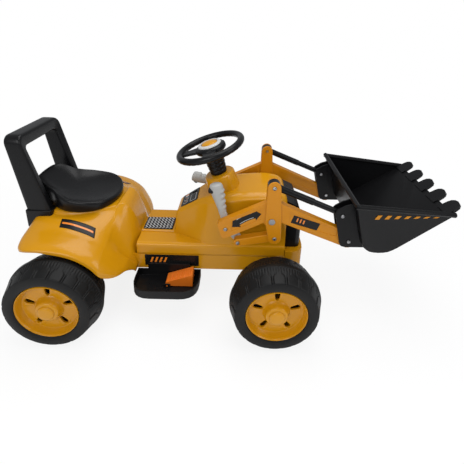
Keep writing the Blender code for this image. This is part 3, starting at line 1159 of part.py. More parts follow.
def build_lever(side, word, parent, turn_back):
    """A lever on the arm's rear end: pistol grip above the bolt and a flat tail below it."""
    carrier = frame(f"lever_pivot_{word}", (PIVOT_P[0], side * ARM_MIDDLE, PIVOT_P[1]), parent)
    angle = GRIP_ANGLE + turn_back
    way, across = Vector((math.cos(angle), 0, math.sin(angle))), Vector((math.sin(angle), 0, -math.cos(angle)))
    inner = ARM_IN - SIDE_GAP - LEVER_PLATE
    rings = []
    shares = [0.16, 0.28] + list(np.linspace(0.38, 0.83, 9)) + [0.90, 0.955, 0.985, 1.0]
    for share in shares:
        width, thick, groove = lever_section(share)
        middle = side * (inner + LEVER_PLATE / 2 - GRIP_SHIFT * min(1, max(0, (share - 0.28) / 0.1)))
        base = Vector((PIVOT_P[0], middle, PIVOT_P[1])) + way * GRIP_LENGTH * share - across * 0.006 * share
        ring = []
        for k in range(10):
            t = 2 * math.pi * k / 10
            reach = width * math.cos(t) + (groove if math.cos(t) > 0.3 else 0.0)
            ring.append(base + across * reach + Vector((0, thick * math.sin(t), 0)))
        rings.append(ring)
    verts, faces = loft([[tuple(p) for p in ring] for ring in rings])
    grip = piece(f"lever_{word}", verts, faces, GREY, carrier, smooth=60)
    tail_way = math.atan2(PIVOT_L[1] - PIVOT_P[1], PIVOT_L[0] - PIVOT_P[0]) + turn_back
    tail_length = math.dist(PIVOT_L, PIVOT_P)
    tail = (PIVOT_P[0] + tail_length * math.cos(tail_way), PIVOT_P[1] + tail_length * math.sin(tail_way))
    head = (PIVOT_P[0] + way.x * GRIP_LENGTH * 0.26, PIVOT_P[1] + way.z * GRIP_LENGTH * 0.26)
    low, high = sorted((side * inner, side * (inner + LEVER_PLATE)))
    upper = prism(hull_of_discs([(PIVOT_P, 0.0125), (head, 0.0085)], 6), low, high, "xz")
    lower = prism(hull_of_discs([(PIVOT_P, 0.0125), (tail, TAIL_END)], 6), low, high, "xz")
    join(grip, piece("lever_plate", *upper, GREY, carrier), piece("lever_tail", *lower, GREY, carrier))
    for x, z in (PIVOT_P, tail):
        hole = bore((x, side * (inner - 0.01), z), (x, side * (inner + LEVER_PLATE + 0.01), z), BOLT_RADIUS)
        cut(grip, piece("lever_hole", *hole, GREY, carrier))
    return carrier


def build_lower_link(parent):
    """The link from the right lever's tail to the right rocker's lower bolt, with its own bolt."""
    side = RIGHT
    carrier = frame("link_pivot_right", (PIVOT_L[0], side * ARM_MIDDLE, PIVOT_L[1]), parent)
    low, high = sorted((side * ARM_IN, side * ARM_OUT))
    outline = hull_of_discs([(PIVOT_L, LINK_HALF), (PIVOT_K, LINK_HALF + 0.001)], 8)
    link = piece("lower_link_right", *prism(outline, low, high, "xz"), ORANGE, carrier)
    for (x, z), slack in ((PIVOT_L, 0.0), (PIVOT_K, LINK_SLACK)):
        hole = bore((x, side * (ARM_IN - 0.01), z), (x, side * (ARM_OUT + 0.01), z), BOLT_RADIUS + slack)
        cut(link, piece("link_hole", *hole, ORANGE, carrier))
    inner = ARM_IN - SIDE_GAP - LEVER_PLATE
    bolt("link_bolt_right", PIVOT_L, inner - SIDE_GAP, ARM_OUT + SIDE_GAP, side, carrier)


def build_loader():
    """Arms on the axle through the hood, rockers, rods, levers, link and bucket."""
    boom = frame("boom_pivot", (PIVOT_O[0], 0, PIVOT_O[1]), VEHICLE)
    for side, word in ((RIGHT, "right"), (LEFT, "left")):
        build_arm(side, word, boom)
    axle = piece("boom_axle", *bar((PIVOT_O[0], -HEAD_IN - 0.001, PIVOT_O[1]), (PIVOT_O[0], HEAD_IN + 0.001, PIVOT_O[1]),
                                   AXLE_RADIUS, 16), STEEL, boom)
    for side in (RIGHT, LEFT):
        head = bar((PIVOT_O[0], side * HEAD_IN, PIVOT_O[1]), (PIVOT_O[0], side * (HEAD_IN + BOLT_HEAD), PIVOT_O[1]),
                   0.0085, 12)
        join(axle, piece("axle_head", *head, STEEL, boom))
    inner = ARM_IN - SIDE_GAP - LEVER_PLATE
    for side, word in ((RIGHT, "right"), (LEFT, "left")):
        bolt(f"boom_bolt_{word}", PIVOT_P, inner - SIDE_GAP, ARM_OUT + SIDE_GAP, side, boom)
        rocker = frame(f"rocker_pivot_{word}", (PIVOT_O[0], side * ARM_MIDDLE, PIVOT_O[1]), boom)
        build_rocker(side, word, rocker)
        build_push_rod(side, word, rocker)
    lever = build_lever(RIGHT, "right", boom, 0.0)
    build_lower_link(lever)
    build_lever(LEFT, "left", boom, LEFT_LEVER_BACK)
    build_bucket(boom)


# Bucket

def bucket_half(x):
    """The bucket's half width at x."""
    share = (x - BUCKET_REAR_TOP[0]) / (BUCKET_LIP[0] - BUCKET_REAR_TOP[0])
    return BUCKET_HALF_REAR + share * (BUCKET_HALF_FRONT - BUCKET_HALF_REAR)


def bucket_profile():
    """The bucket's outside in side view, from the rear rim down the back and up to the lip."""
    curve = smooth_line([BUCKET_REAR_LOW, BUCKET_HEEL, BUCKET_BELLY, BUCKET_TOE, BUCKET_TURN], 2)
    return [BUCKET_REAR_TOP, BUCKET_BACK] + [tuple(p) for p in curve] + [BUCKET_LIP]


def offset_line(points, distance):
    """Shifts an open line to its left by a distance."""
    p = np.asarray(points, float)
    ahead = np.gradient(p, axis=0)
    ahead /= np.linalg.norm(ahead, axis=1)[:, None]
    return p + np.stack([-ahead[:, 1], ahead[:, 0]], axis=1) * distance


def tapered_prism(outline, shrink):
    """A solid over a side view whose half width follows the bucket's, less shrink."""
    if area_of(outline) < 0:
        outline = outline[::-1]
    count = len(outline)
    verts = [(x, -bucket_half(x) + shrink, z) for x, z in outline] + [(x, bucket_half(x) - shrink, z) for x, z in outline]
    faces = [list(range(count)), list(range(count, 2 * count))[::-1]]
    faces += [(i + count, (i + 1) % count + count, (i + 1) % count, i) for i in range(count)]
    return verts, faces


def build_bucket(parent):
    """Bucket: tapered shell with a rolled rim, teeth and two pairs of hinge plates, and its bolts."""
    carrier = frame("bucket_pivot", (PIVOT_B[0], 0, PIVOT_B[1]), parent)
    profile = bucket_profile()
    bucket = piece("bucket", *tapered_prism(profile, 0.0), BLACK, carrier)
    inside = [tuple(p) for p in offset_line(profile, BUCKET_WALL)]
    lift = 0.06
    inside = [(profile[0][0] + BUCKET_WALL - 0.016, profile[0][1] + lift)] + inside[1:-1] + [
        (inside[-1][0] + 0.05, inside[-1][1] + 0.05 * math.tan(LIP_ANGLE)), (inside[-1][0] + 0.05, inside[-1][1] + lift)]
    cut(bucket, piece("bucket_inside", *tapered_prism(inside, BUCKET_WALL), BLACK, carrier))
    rim = [(BUCKET_LIP[0] - 0.004, -BUCKET_HALF_FRONT + 0.0015, BUCKET_LIP[1]),
           (BUCKET_REAR_TOP[0] + 0.002, -BUCKET_HALF_REAR + 0.0015, BUCKET_REAR_TOP[1] - 0.001),
           (BUCKET_REAR_TOP[0] + 0.002, BUCKET_HALF_REAR - 0.0015, BUCKET_REAR_TOP[1] - 0.001),
           (BUCKET_LIP[0] - 0.004, BUCKET_HALF_FRONT - 0.0015, BUCKET_LIP[1])]
    for a, b in zip(rim[:-1], rim[1:]):
        on = (Vector(b) - Vector(a)).normalized() * BUCKET_BEAD * 0.8
        join(bucket, piece("bucket_bead", *bar(Vector(a) - on, Vector(b) + on, BUCKET_BEAD, 8), BLACK, carrier))
    ahead = Vector((math.cos(LIP_ANGLE), 0, math.sin(LIP_ANGLE)))
    up = Vector((-math.sin(LIP_ANGLE), 0, math.cos(LIP_ANGLE)))
    basis = Matrix((ahead, Vector((0, 1, 0)), up)).transposed()
    for k in range(TOOTH_COUNT):
        y = (k - (TOOTH_COUNT - 1) / 2) * TOOTH_PITCH
        radius = TOOTH_HALF
        tip = [(TOOTH_LENGTH - radius + radius * math.cos(t), radius * math.sin(t))
               for t in np.radians(np.linspace(-90, 90, 7))]
        outline = [(-0.016, -radius * 1.12)] + tip + [(-0.016, radius * 1.12)]
        verts, faces = prism(outline, -0.0004, TOOTH_THICKNESS, "xy")
        start = Vector((BUCKET_LIP[0], y, BUCKET_LIP[1]))
        join(bucket, piece("tooth", [tuple(start + basis @ Vector(v)) for v in verts], faces, BLACK, carrier))
    plate_outline = rounded([(PIVOT_B[0] + x, PIVOT_B[1] + z) for x, z in HINGE_PLATE],
                            [0.012, 0.016, 0.004, 0.0, 0.006, 0.010], 2)
    for side in (RIGHT, LEFT):
        for low in (INNER_PLATE_IN, OUTER_PLATE_IN):
            reach = sorted((side * low, side * (low + PLATE)))
            join(bucket, piece("bucket_plate", *prism(plate_outline, *reach, "xz"), BLACK, carrier))
        for x, z in (PIVOT_U, PIVOT_B):
            hole = bore((x, side * (INNER_PLATE_IN - 0.01), z), (x, side * (OUTER_PLATE_OUT + 0.01), z), BOLT_RADIUS)
            cut(bucket, piece("bucket_hole", *hole, BLACK, carrier))
    start, end = INNER_PLATE_IN - SIDE_GAP, OUTER_PLATE_OUT + SIDE_GAP
    for side, word in ((RIGHT, "right"), (LEFT, "left")):
        bolt(f"bucket_bolt_top_{word}", PIVOT_U, start, end, side, carrier)
        bolt(f"bucket_bolt_low_{word}", PIVOT_B, start, end, side, carrier)


def main():
    """Builds every piece."""
    build_chassis()
    build_rear_shell()
    build_front_body()
    build_trim()
    build_seat()
    build_handle()
    build_footrests()
    build_pedal()
    build_rear_axle()
    build_battery()
    carriers = build_front_axle()
    for side, word in ((RIGHT, "right"), (LEFT, "left")):
        rear_place = (0, side * WHEEL_CENTRE_Y, AXLE_Z)
        build_wheel(f"rear_{word}", rear_place, side, frame(f"wheel_pivot_rear_{word}", rear_place, VEHICLE))
        front_place = (WHEELBASE, side * WHEEL_CENTRE_Y, AXLE_Z)
        build_wheel(f"front_{word}", front_place, side,
                    frame(f"wheel_pivot_front_{word}", front_place, carriers[word]))
    build_steering()
    build_loader()


main()
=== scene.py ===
"""Studio scene of a child's ride-on loader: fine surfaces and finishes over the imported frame.

Shapes are written as x forwards from the rear axle, y to the vehicle's left and z up from the ground, in
metres, and are moved to the frame's middle when their mesh is made.
"""
import logging
import math
from dataclasses import dataclass, field
from enum import Enum
from typing import Optional, Sequence

import bmesh
import bpy
import numpy as np
from mathutils import Matrix, Vector


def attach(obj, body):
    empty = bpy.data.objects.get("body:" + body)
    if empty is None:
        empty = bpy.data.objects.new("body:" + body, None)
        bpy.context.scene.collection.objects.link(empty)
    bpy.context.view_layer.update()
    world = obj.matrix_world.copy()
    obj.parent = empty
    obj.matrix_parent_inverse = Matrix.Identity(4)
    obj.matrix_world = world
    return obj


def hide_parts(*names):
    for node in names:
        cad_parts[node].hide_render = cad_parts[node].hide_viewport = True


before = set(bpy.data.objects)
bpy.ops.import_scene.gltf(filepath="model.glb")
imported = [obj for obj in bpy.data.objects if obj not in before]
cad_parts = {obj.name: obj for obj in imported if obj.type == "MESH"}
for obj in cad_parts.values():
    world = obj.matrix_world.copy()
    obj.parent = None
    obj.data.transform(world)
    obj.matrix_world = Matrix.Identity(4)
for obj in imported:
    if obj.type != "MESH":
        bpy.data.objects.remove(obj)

LOG = logging.getLogger("loader")
MIDDLE_X = 0.43311
AXLE_HEIGHT = 0.1155
RIGHT, LEFT = -1.0, 1.0
WORDS = {RIGHT: "right", LEFT: "left"}
COLUMN_FOOT = 0.372
FILM = 0.0004
MARK = 0.0006
Array = np.ndarray


class Slot(Enum):
    """The record's material slots."""

    YELLOW = "yellow_plastic"
    ORANGE = "orange_plastic"
    BLACK = "black_plastic"
    TYRE = "tyre_plastic"
    GREY = "grey_plastic"
    STEEL = "zinc_steel"


# Curves and grids


def full_turn(steps: int) -> Array:
    """Angles spaced evenly round a full turn, without the last."""
    return np.linspace(0, 2 * np.pi, steps, endpoint=False)


def circle(radius: float, steps: int, centre: Sequence[float] = (0.0, 0.0)) -> Array:
    """Points round a circle, as rows of two: the centre plus radius times cosine and sine."""
    turn = full_turn(steps)
    return np.asarray(centre) + radius * np.stack([np.cos(turn), np.sin(turn)], 1)


def spaced(knots: Sequence[Sequence[float]], steps: int, closed: bool = False) -> Array:
    """Smooth line through knots: a cubic per span, whose end slopes are the mean of the steps on both sides,
    cut short where the line would swing past a knot.

    Args:
        knots: points of any dimension, in order.
        steps: pieces per span.
        closed: whether the last knot leads back to the first.

    Returns:
        The points as rows.
    """
    p = np.asarray(knots, float)
    ring = np.concatenate([p, p[:1]]) if closed else p
    step = np.diff(ring, axis=0)
    if closed:
        before, after = np.concatenate([step[-1:], step]), np.concatenate([step, step[:1]])
    else:
        before, after = np.concatenate([step[:1], step]), np.concatenate([step, step[-1:]])
    limit = 2.0 * np.minimum(np.abs(before), np.abs(after))
    slope = np.clip((before + after) / 2, -limit, limit) * (before * after > 0)
    t = np.linspace(0, 1, steps, endpoint=False)[None, :, None]
    b, c = ring[:-1, None, :], ring[1:, None, :]
    m, n = slope[:-1, None, :], slope[1:, None, :]
    line = ((2 * t ** 3 - 3 * t ** 2 + 1) * b + (t ** 3 - 2 * t ** 2 + t) * m + (3 * t ** 2 - 2 * t ** 3) * c
            + (t ** 3 - t ** 2) * n)
    line = line.reshape(-1, p.shape[1])
    return line if closed else np.concatenate([line, p[-1:]])


def refined_net(net: Array, along: int, across: int) -> Array:
    """A control net made finer by running the smooth line both ways.

    Args:
        net: control points, shape (rows, columns, 3).
        along: pieces per row span.
        across: pieces per column span.

    Returns:
        The fine grid of points.
    """
    rows, columns, _ = net.shape
    tall = spaced(net.reshape(rows, columns * 3), along).reshape(-1, columns, 3)
    wide = spaced(tall.transpose(1, 0, 2).reshape(columns, -1), across)
    return wide.reshape(wide.shape[0], tall.shape[0], 3).transpose(1, 0, 2)


def corner_round(corners: Sequence[Sequence[float]], radii: Sequence[float] | float, steps: int = 8) -> Array:
    """Closed outline whose corners are circular arcs tangent to both sides.

    Args:
        corners: the sharp outline.
        radii: one radius for all corners or one each.
        steps: pieces per corner.

    Returns:
        Outline points as rows of two.
    """
    p = np.asarray(corners, float)
    r = np.broadcast_to(np.asarray(radii, float), (len(p),)).copy()
    u = np.roll(p, 1, axis=0) - p
    v = np.roll(p, -1, axis=0) - p
    u /= np.linalg.norm(u, axis=1)[:, None]
    v /= np.linalg.norm(v, axis=1)[:, None]
    half = np.arccos(np.clip((u * v).sum(1), -1, 1)) / 2
    reach = np.maximum(r, 1e-6) / np.tan(half)
    t = np.linspace(0, 1, steps + 1)[None, :, None]
    s, e = (p + u * reach[:, None])[:, None, :], (p + v * reach[:, None])[:, None, :]
    w = np.sin(half)[:, None, None]
    top = (1 - t) ** 2 * s + 2 * w * t * (1 - t) * p[:, None, :] + t ** 2 * e
    return (top / ((1 - t) ** 2 + 2 * w * t * (1 - t) + t ** 2)).reshape(-1, 2)


def disc_hull(discs: Sequence[tuple[Sequence[float], float]], steps: int = 64) -> Array:
    """Convex outline round discs, found as the furthest disc point in each direction.

    Args:
        discs: (centre, radius) pairs.
        steps: number of directions.

    Returns:
        Outline points as rows of two.
    """
    way = circle(1.0, steps)
    centres = np.array([c for c, _ in discs], float)
    radii = np.array([r for _, r in discs], float)
    best = np.argmax(way @ centres.T + radii, axis=1)
    return centres[best] + way * radii[best][:, None]


def table(pairs: Sequence[tuple[float, float]], x: Array | float) -> Array:
    """Value read from (x, value) pairs, straight between them."""
    return np.interp(x, [p[0] for p in pairs], [p[1] for p in pairs])


def smoothstep(low: float, high: float, x: Array) -> Array:
    """Rises from 0 at low to 1 at high along a cubic."""
    t = np.clip((x - low) / (high - low), 0, 1)
    return t * t * (3 - 2 * t)


# Meshes


def new_object(name: str, verts: Array, faces: Sequence) -> bpy.types.Object:
    """Mesh object from points given from the rear axle.

    Args:
        name: object name.
        verts: points, one per row.
        faces: index loops.

    Returns:
        The object, at the origin, with its place in its mesh.
    """
    mesh = bpy.data.meshes.new(name)
    moved = np.asarray(verts, float) - np.array((MIDDLE_X, 0, 0))
    mesh.from_pydata(moved, [], [tuple(f) for f in faces] if not isinstance(faces, Array) else faces.tolist())
    mesh.update()
    made = bpy.data.objects.new(name, mesh)
    bpy.context.scene.collection.objects.link(made)
    return made


def tidy_mesh(made: bpy.types.Object, outwards: bool = True) -> bpy.types.Object:
    """Merges doubled points, drops faces without area and turns the faces outwards.

    Args:
        made: the piece.
        outwards: turns the faces outwards.

    Returns:
        The same piece.
    """
    work = bmesh.new()
    work.from_mesh(made.data)
    bmesh.ops.remove_doubles(work, verts=work.verts, dist=2e-6)
    bmesh.ops.dissolve_degenerate(work, edges=work.edges, dist=1e-7)
    if outwards:
        bmesh.ops.recalc_face_normals(work, faces=work.faces)
    work.to_mesh(made.data)
    work.free()
    return made


def grid_faces(rows: int, columns: int, wrap_rows: bool, wrap_columns: bool) -> Array:
    """Quads of a grid of points numbered row by row.

    Args:
        rows: number of rows.
        columns: points per row.
        wrap_rows: joins the last row to the first.
        wrap_columns: joins the last column to the first.

    Returns:
        Index quads, one per row.
    """
    i = np.arange(rows if wrap_rows else rows - 1)[:, None]
    j = np.arange(columns if wrap_columns else columns - 1)[None, :]
    i2, j2 = (i + 1) % rows, (j + 1) % columns
    quads = np.broadcast_arrays(i * columns + j, i * columns + j2, i2 * columns + j2, i2 * columns + j)
    return np.stack(quads, -1).reshape(-1, 4)


def grid_object(name: str, grid: Array, wrap_rows: bool = False, wrap_columns: bool = False,
                capped: bool = False, outwards: bool = True) -> bpy.types.Object:
    """Surface over a grid of points.

    Args:
        name: object name.
        grid: points, shape (rows, columns, 3).
        wrap_rows: joins the last row to the first.
        wrap_columns: joins the last column to the first.
        capped: closes the first and last row with a face each.
        outwards: turns the faces outwards.

    Returns:
        The object.
    """
    rows, columns, _ = grid.shape
    faces = grid_faces(rows, columns, wrap_rows, wrap_columns).tolist()
    if capped:
        faces.append(list(range(columns))[::-1])
        faces.append([(rows - 1) * columns + k for k in range(columns)])
    return tidy_mesh(new_object(name, grid.reshape(-1, 3), faces), outwards)


def turned_grid(profile: Array, steps: int, place: Sequence[float], axis: Sequence[float]) -> Array:
    """Profile of (radius, height) turned about an axis: each row is the profile at one angle.

    Args:
        profile: rows of radius and height.
        steps: number of angles.
        place: where height 0 lies.
        axis: direction of height.

    Returns:
        Grid of points.
    """
    z = np.asarray(axis, float) / np.linalg.norm(axis)
    x = np.cross((0.0, 1.0, 0.0) if abs(z[1]) < 0.9 else (1.0, 0.0, 0.0), z)
    x /= np.linalg.norm(x)
    y = np.cross(z, x)
    turn = full_turn(steps)
    round_way = np.cos(turn)[:, None] * x + np.sin(turn)[:, None] * y
    return (np.asarray(place, float) + profile[None, :, 0:1] * round_way[:, None, :]
            + profile[None, :, 1:2] * z)


def lathe(name: str, profile: Sequence[Sequence[float]], place: Sequence[float], axis: Sequence[float],
          steps: int = 64, loop: bool = False) -> bpy.types.Object:
    """Turned piece; a profile that starts and ends on the axis is a closed solid, and so is a loop."""
    grid = turned_grid(np.asarray(profile, float), steps, place, axis)
    return grid_object(name, grid, wrap_rows=True, wrap_columns=loop)


def bevel(made: bpy.types.Object, width: float, segments: int = 3, angle: float = 35) -> bpy.types.Object:
    """Rounds the edges sharper than angle, in degrees.

    Args:
        made: the piece.
        width: the rounding's width.
        segments: facets across it.
        angle: edges sharper than this are rounded.

    Returns:
        The same piece.
    """
    step = made.modifiers.new("round", "BEVEL")
    step.width = width
    step.segments = segments
    step.limit_method = "ANGLE"
    step.angle_limit = math.radians(angle)
    step.harden_normals = False
    return made


def prism(name: str, outline: Array, low: float, high: float, plane: str = "xz") -> bpy.types.Object:
    """Solid over an outline, between two values of the third axis.

    Args:
        name: object name.
        outline: closed outline in the plane.
        low: lower value of the third axis.
        high: higher value of the third axis.
        plane: "xz", "xy" or "yz".

    Returns:
        The object.
    """
    o = np.asarray(outline, float)
    n = len(o)
    low, high = min(low, high), max(low, high)
    order = {"xz": (0, 2, 1), "xy": (0, 1, 2), "yz": (1, 2, 0)}[plane]
    pts = np.zeros((2, n, 3))
    pts[:, :, order[0]] = o[:, 0]
    pts[:, :, order[1]] = o[:, 1]
    pts[0, :, order[2]] = low
    pts[1, :, order[2]] = high
    return grid_object(name, pts, wrap_columns=True, capped=True)


def copy_of(node: str, width: float, segments: int = 2, angle: float = 35) -> bpy.types.Object:
    """A cleaned copy of a frame node: triangles merged into whole faces and edges rounded.

    Args:
        node: frame node.
        width: the edge rounding's width, or 0 for none.
        segments: facets across it.
        angle: edges sharper than this, in degrees, are rounded.

    Returns:
        The piece.
    """
    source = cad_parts[node]
    mesh = source.data.copy()
    mesh.materials.clear()
    made = bpy.data.objects.new(f"fine_{node}", mesh)
    bpy.context.scene.collection.objects.link(made)
    work = bmesh.new()
    work.from_mesh(mesh)
    bmesh.ops.remove_doubles(work, verts=work.verts, dist=5e-6)
    bmesh.ops.dissolve_limit(work, angle_limit=math.radians(0.8), verts=work.verts, edges=work.edges)
    work.to_mesh(mesh)
    work.free()
    if width > 0:
        bevel(made, width, segments, angle)
    return made


def settle(made: bpy.types.Object, body: str, finish: bpy.types.Material, slot: Slot,
           nodes: Sequence[str] = (), smooth: float = 32) -> bpy.types.Object:
    """Gives a piece its finish and smoothing, sets it on its body and hides the frame nodes it stands for.

    Args:
        made: the piece.
        body: the frame body that it rides on.
        finish: its material.
        slot: the record's slot; not used.
        nodes: frame nodes that it replaces.
        smooth: edges sharper than this, in degrees, stay sharp.

    Returns:
        The piece.
    """
    made.data.materials.clear()
    made.data.materials.append(finish)
    made.data.shade_smooth()
    made.data.set_sharp_from_angle(angle=math.radians(smooth))
    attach(made, body)
    if nodes:
        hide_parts(*nodes)
    LOG.info("piece %s on %s", made.name, body)
    return made


# Finishes


def moulded_group() -> bpy.types.ShaderNodeTree:
    """Node group for moulded plastic: soft shade changes, rubbed gloss and the mould's fine ripple.

    Returns:
        The group, with colour, roughness and normal outputs.
    """
    group = bpy.data.node_groups.new("moulded_surface", "ShaderNodeTree")
    sockets = group.interface
    made = sockets.new_socket(name="Colour", in_out="INPUT", socket_type="NodeSocketColor")
    made.default_value = (0.5, 0.5, 0.5, 1)
    amounts = {"Shade Change": 0.05, "Roughness": 0.3, "Gloss Change": 0.08, "Grain Scale": 900.0,
               "Grain Depth": 0.05, "Ripple": 0.03, "Dust": 0.05}
    for name, value in amounts.items():
        made = sockets.new_socket(name=name, in_out="INPUT", socket_type="NodeSocketFloat")
        made.default_value = value
    for name, kind in (("Colour", "NodeSocketColor"), ("Roughness", "NodeSocketFloat"),
                       ("Normal", "NodeSocketVector")):
        sockets.new_socket(name=name, in_out="OUTPUT", socket_type=kind)
    nodes, links = group.nodes, group.links
    start, end = nodes.new("NodeGroupInput"), nodes.new("NodeGroupOutput")
    coords = nodes.new("ShaderNodeTexCoord")

    def noise(scale: float, detail: float, rough: float = 0.5) -> bpy.types.Node:
        """Noise on the object's own coordinates.

        Args:
            scale: how fine it is.
            detail: octaves.
            rough: weight of the finer octaves.

        Returns:
            The node.
        """
        made = nodes.new("ShaderNodeTexNoise")
        made.inputs["Scale"].default_value = scale
        made.inputs["Detail"].default_value = detail
        made.inputs["Roughness"].default_value = rough
        links.new(coords.outputs["Object"], made.inputs["Vector"])
        return made

    def math_node(kind: str, a: object, b: object) -> bpy.types.NodeSocket:
        """A Math node over sockets or numbers.

        Args:
            kind: operation.
            a: first socket or number.
            b: second socket or number.

        Returns:
            The result's socket.
        """
        made = nodes.new("ShaderNodeMath")
        made.operation = kind
        for socket, value in zip(made.inputs, (a, b)):
            if isinstance(value, (int, float)):
                socket.default_value = value
            else:
                links.new(value, socket)
        return made.outputs[0]

    broad, smudge, fine = noise(7.0, 3.0), noise(38.0, 5.0, 0.65), noise(1.0, 2.0)
    links.new(start.outputs["Grain Scale"], fine.inputs["Scale"])
    centred = math_node("SUBTRACT", broad.outputs["Fac"], 0.5)
    shift = math_node("MULTIPLY", centred, start.outputs["Shade Change"])
    factor = math_node("ADD", math_node("MULTIPLY", shift, 2.0), 1.0)
    shaded = nodes.new("ShaderNodeMix")
    shaded.data_type = "RGBA"
    shaded.blend_type = "MULTIPLY"
    shaded.inputs["Factor"].default_value = 1.0
    links.new(start.outputs["Colour"], shaded.inputs[6])
    links.new(factor, shaded.inputs[7])
    # Dust settles on what faces up
    geometry = nodes.new("ShaderNodeNewGeometry")
    split = nodes.new("ShaderNodeSeparateXYZ")
    links.new(geometry.outputs["Normal"], split.inputs["Vector"])
    up = math_node("MAXIMUM", split.outputs["Z"], 0.0)
    dust = math_node("MULTIPLY", math_node("MULTIPLY", up, start.outputs["Dust"]), smudge.outputs["Fac"])
    dusty = nodes.new("ShaderNodeMix")
    dusty.data_type = "RGBA"
    links.new(dust, dusty.inputs["Factor"])
    links.new(shaded.outputs[2], dusty.inputs[6])
    dusty.inputs[7].default_value = (0.42, 0.40, 0.37, 1)
    links.new(dusty.outputs[2], end.inputs["Colour"])
    rubbed = math_node("SUBTRACT", smudge.outputs["Fac"], 0.5)
    wander = math_node("MULTIPLY", rubbed, start.outputs["Gloss Change"])
    worn = math_node("ADD", start.outputs["Roughness"], wander)
    rough = math_node("ADD", worn, math_node("MULTIPLY", dust, 1.2))
    links.new(rough, end.inputs["Roughness"])
    grain = nodes.new("ShaderNodeBump")
    grain.inputs["Distance"].default_value = 0.0004
    links.new(start.outputs["Grain Depth"], grain.inputs["Strength"])
    links.new(fine.outputs["Fac"], grain.inputs["Height"])
    ripple = nodes.new("ShaderNodeBump")
    ripple.inputs["Distance"].default_value = 0.004
    links.new(start.outputs["Ripple"], ripple.inputs["Strength"])
    links.new(broad.outputs["Fac"], ripple.inputs["Height"])
    links.new(grain.outputs["Normal"], ripple.inputs["Normal"])
    links.new(ripple.outputs["Normal"], end.inputs["Normal"])
    return group


@dataclass(frozen=True)
class Plastic:
    """A moulded plastic's look."""

    name: str
    colour: tuple[float, float, float]
    roughness: float
    gloss_change: float = 0.08
    shade_change: float = 0.05
    grain_scale: float = 900.0
    grain_depth: float = 0.05
    ripple: float = 0.03
    dust: float = 0.05
    coat: float = 0.0
    specular: float = 0.5

    def material(self, group: bpy.types.ShaderNodeTree) -> bpy.types.Material:
        """Builds the material around the shared group.

        Args:
            group: the moulded surface group.

        Returns:
            The material.
        """
        made = bpy.data.materials.new(self.name)
        made.use_nodes = True
        tree = made.node_tree
        shader = tree.nodes["Principled BSDF"]
        look = tree.nodes.new("ShaderNodeGroup")
        look.node_tree = group
        for key, value in (("Colour", (*self.colour, 1)), ("Shade Change", self.shade_change),
                           ("Roughness", self.roughness), ("Gloss Change", self.gloss_change),
                           ("Grain Scale", self.grain_scale), ("Grain Depth", self.grain_depth),
                           ("Ripple", self.ripple), ("Dust", self.dust)):
            look.inputs[key].default_value = value
        tree.links.new(look.outputs["Colour"], shader.inputs["Base Color"])
        tree.links.new(look.outputs["Roughness"], shader.inputs["Roughness"])
        tree.links.new(look.outputs["Normal"], shader.inputs["Normal"])
        shader.inputs["Coat Weight"].default_value = self.coat
        shader.inputs["Coat Roughness"].default_value = 0.12
        shader.inputs["Specular IOR Level"].default_value = self.specular
        return made


@dataclass(frozen=True)
class Metal:
    """A plated or plain metal's look."""

    name: str
    colour: tuple[float, float, float]
    roughness: float

    def material(self, group: bpy.types.ShaderNodeTree) -> bpy.types.Material:
        """Builds the material: the shared group's shade and gloss changes on a metal.

        Args:
            group: the moulded surface group.

        Returns:
            The material.
        """
        plated = Plastic(self.name, self.colour, self.roughness, gloss_change=0.22, shade_change=0.10,
                         grain_scale=1400.0, grain_depth=0.08, ripple=0.02, dust=0.02)
        made = plated.material(group)
        made.node_tree.nodes["Principled BSDF"].inputs["Metallic"].default_value = 1.0
        return made


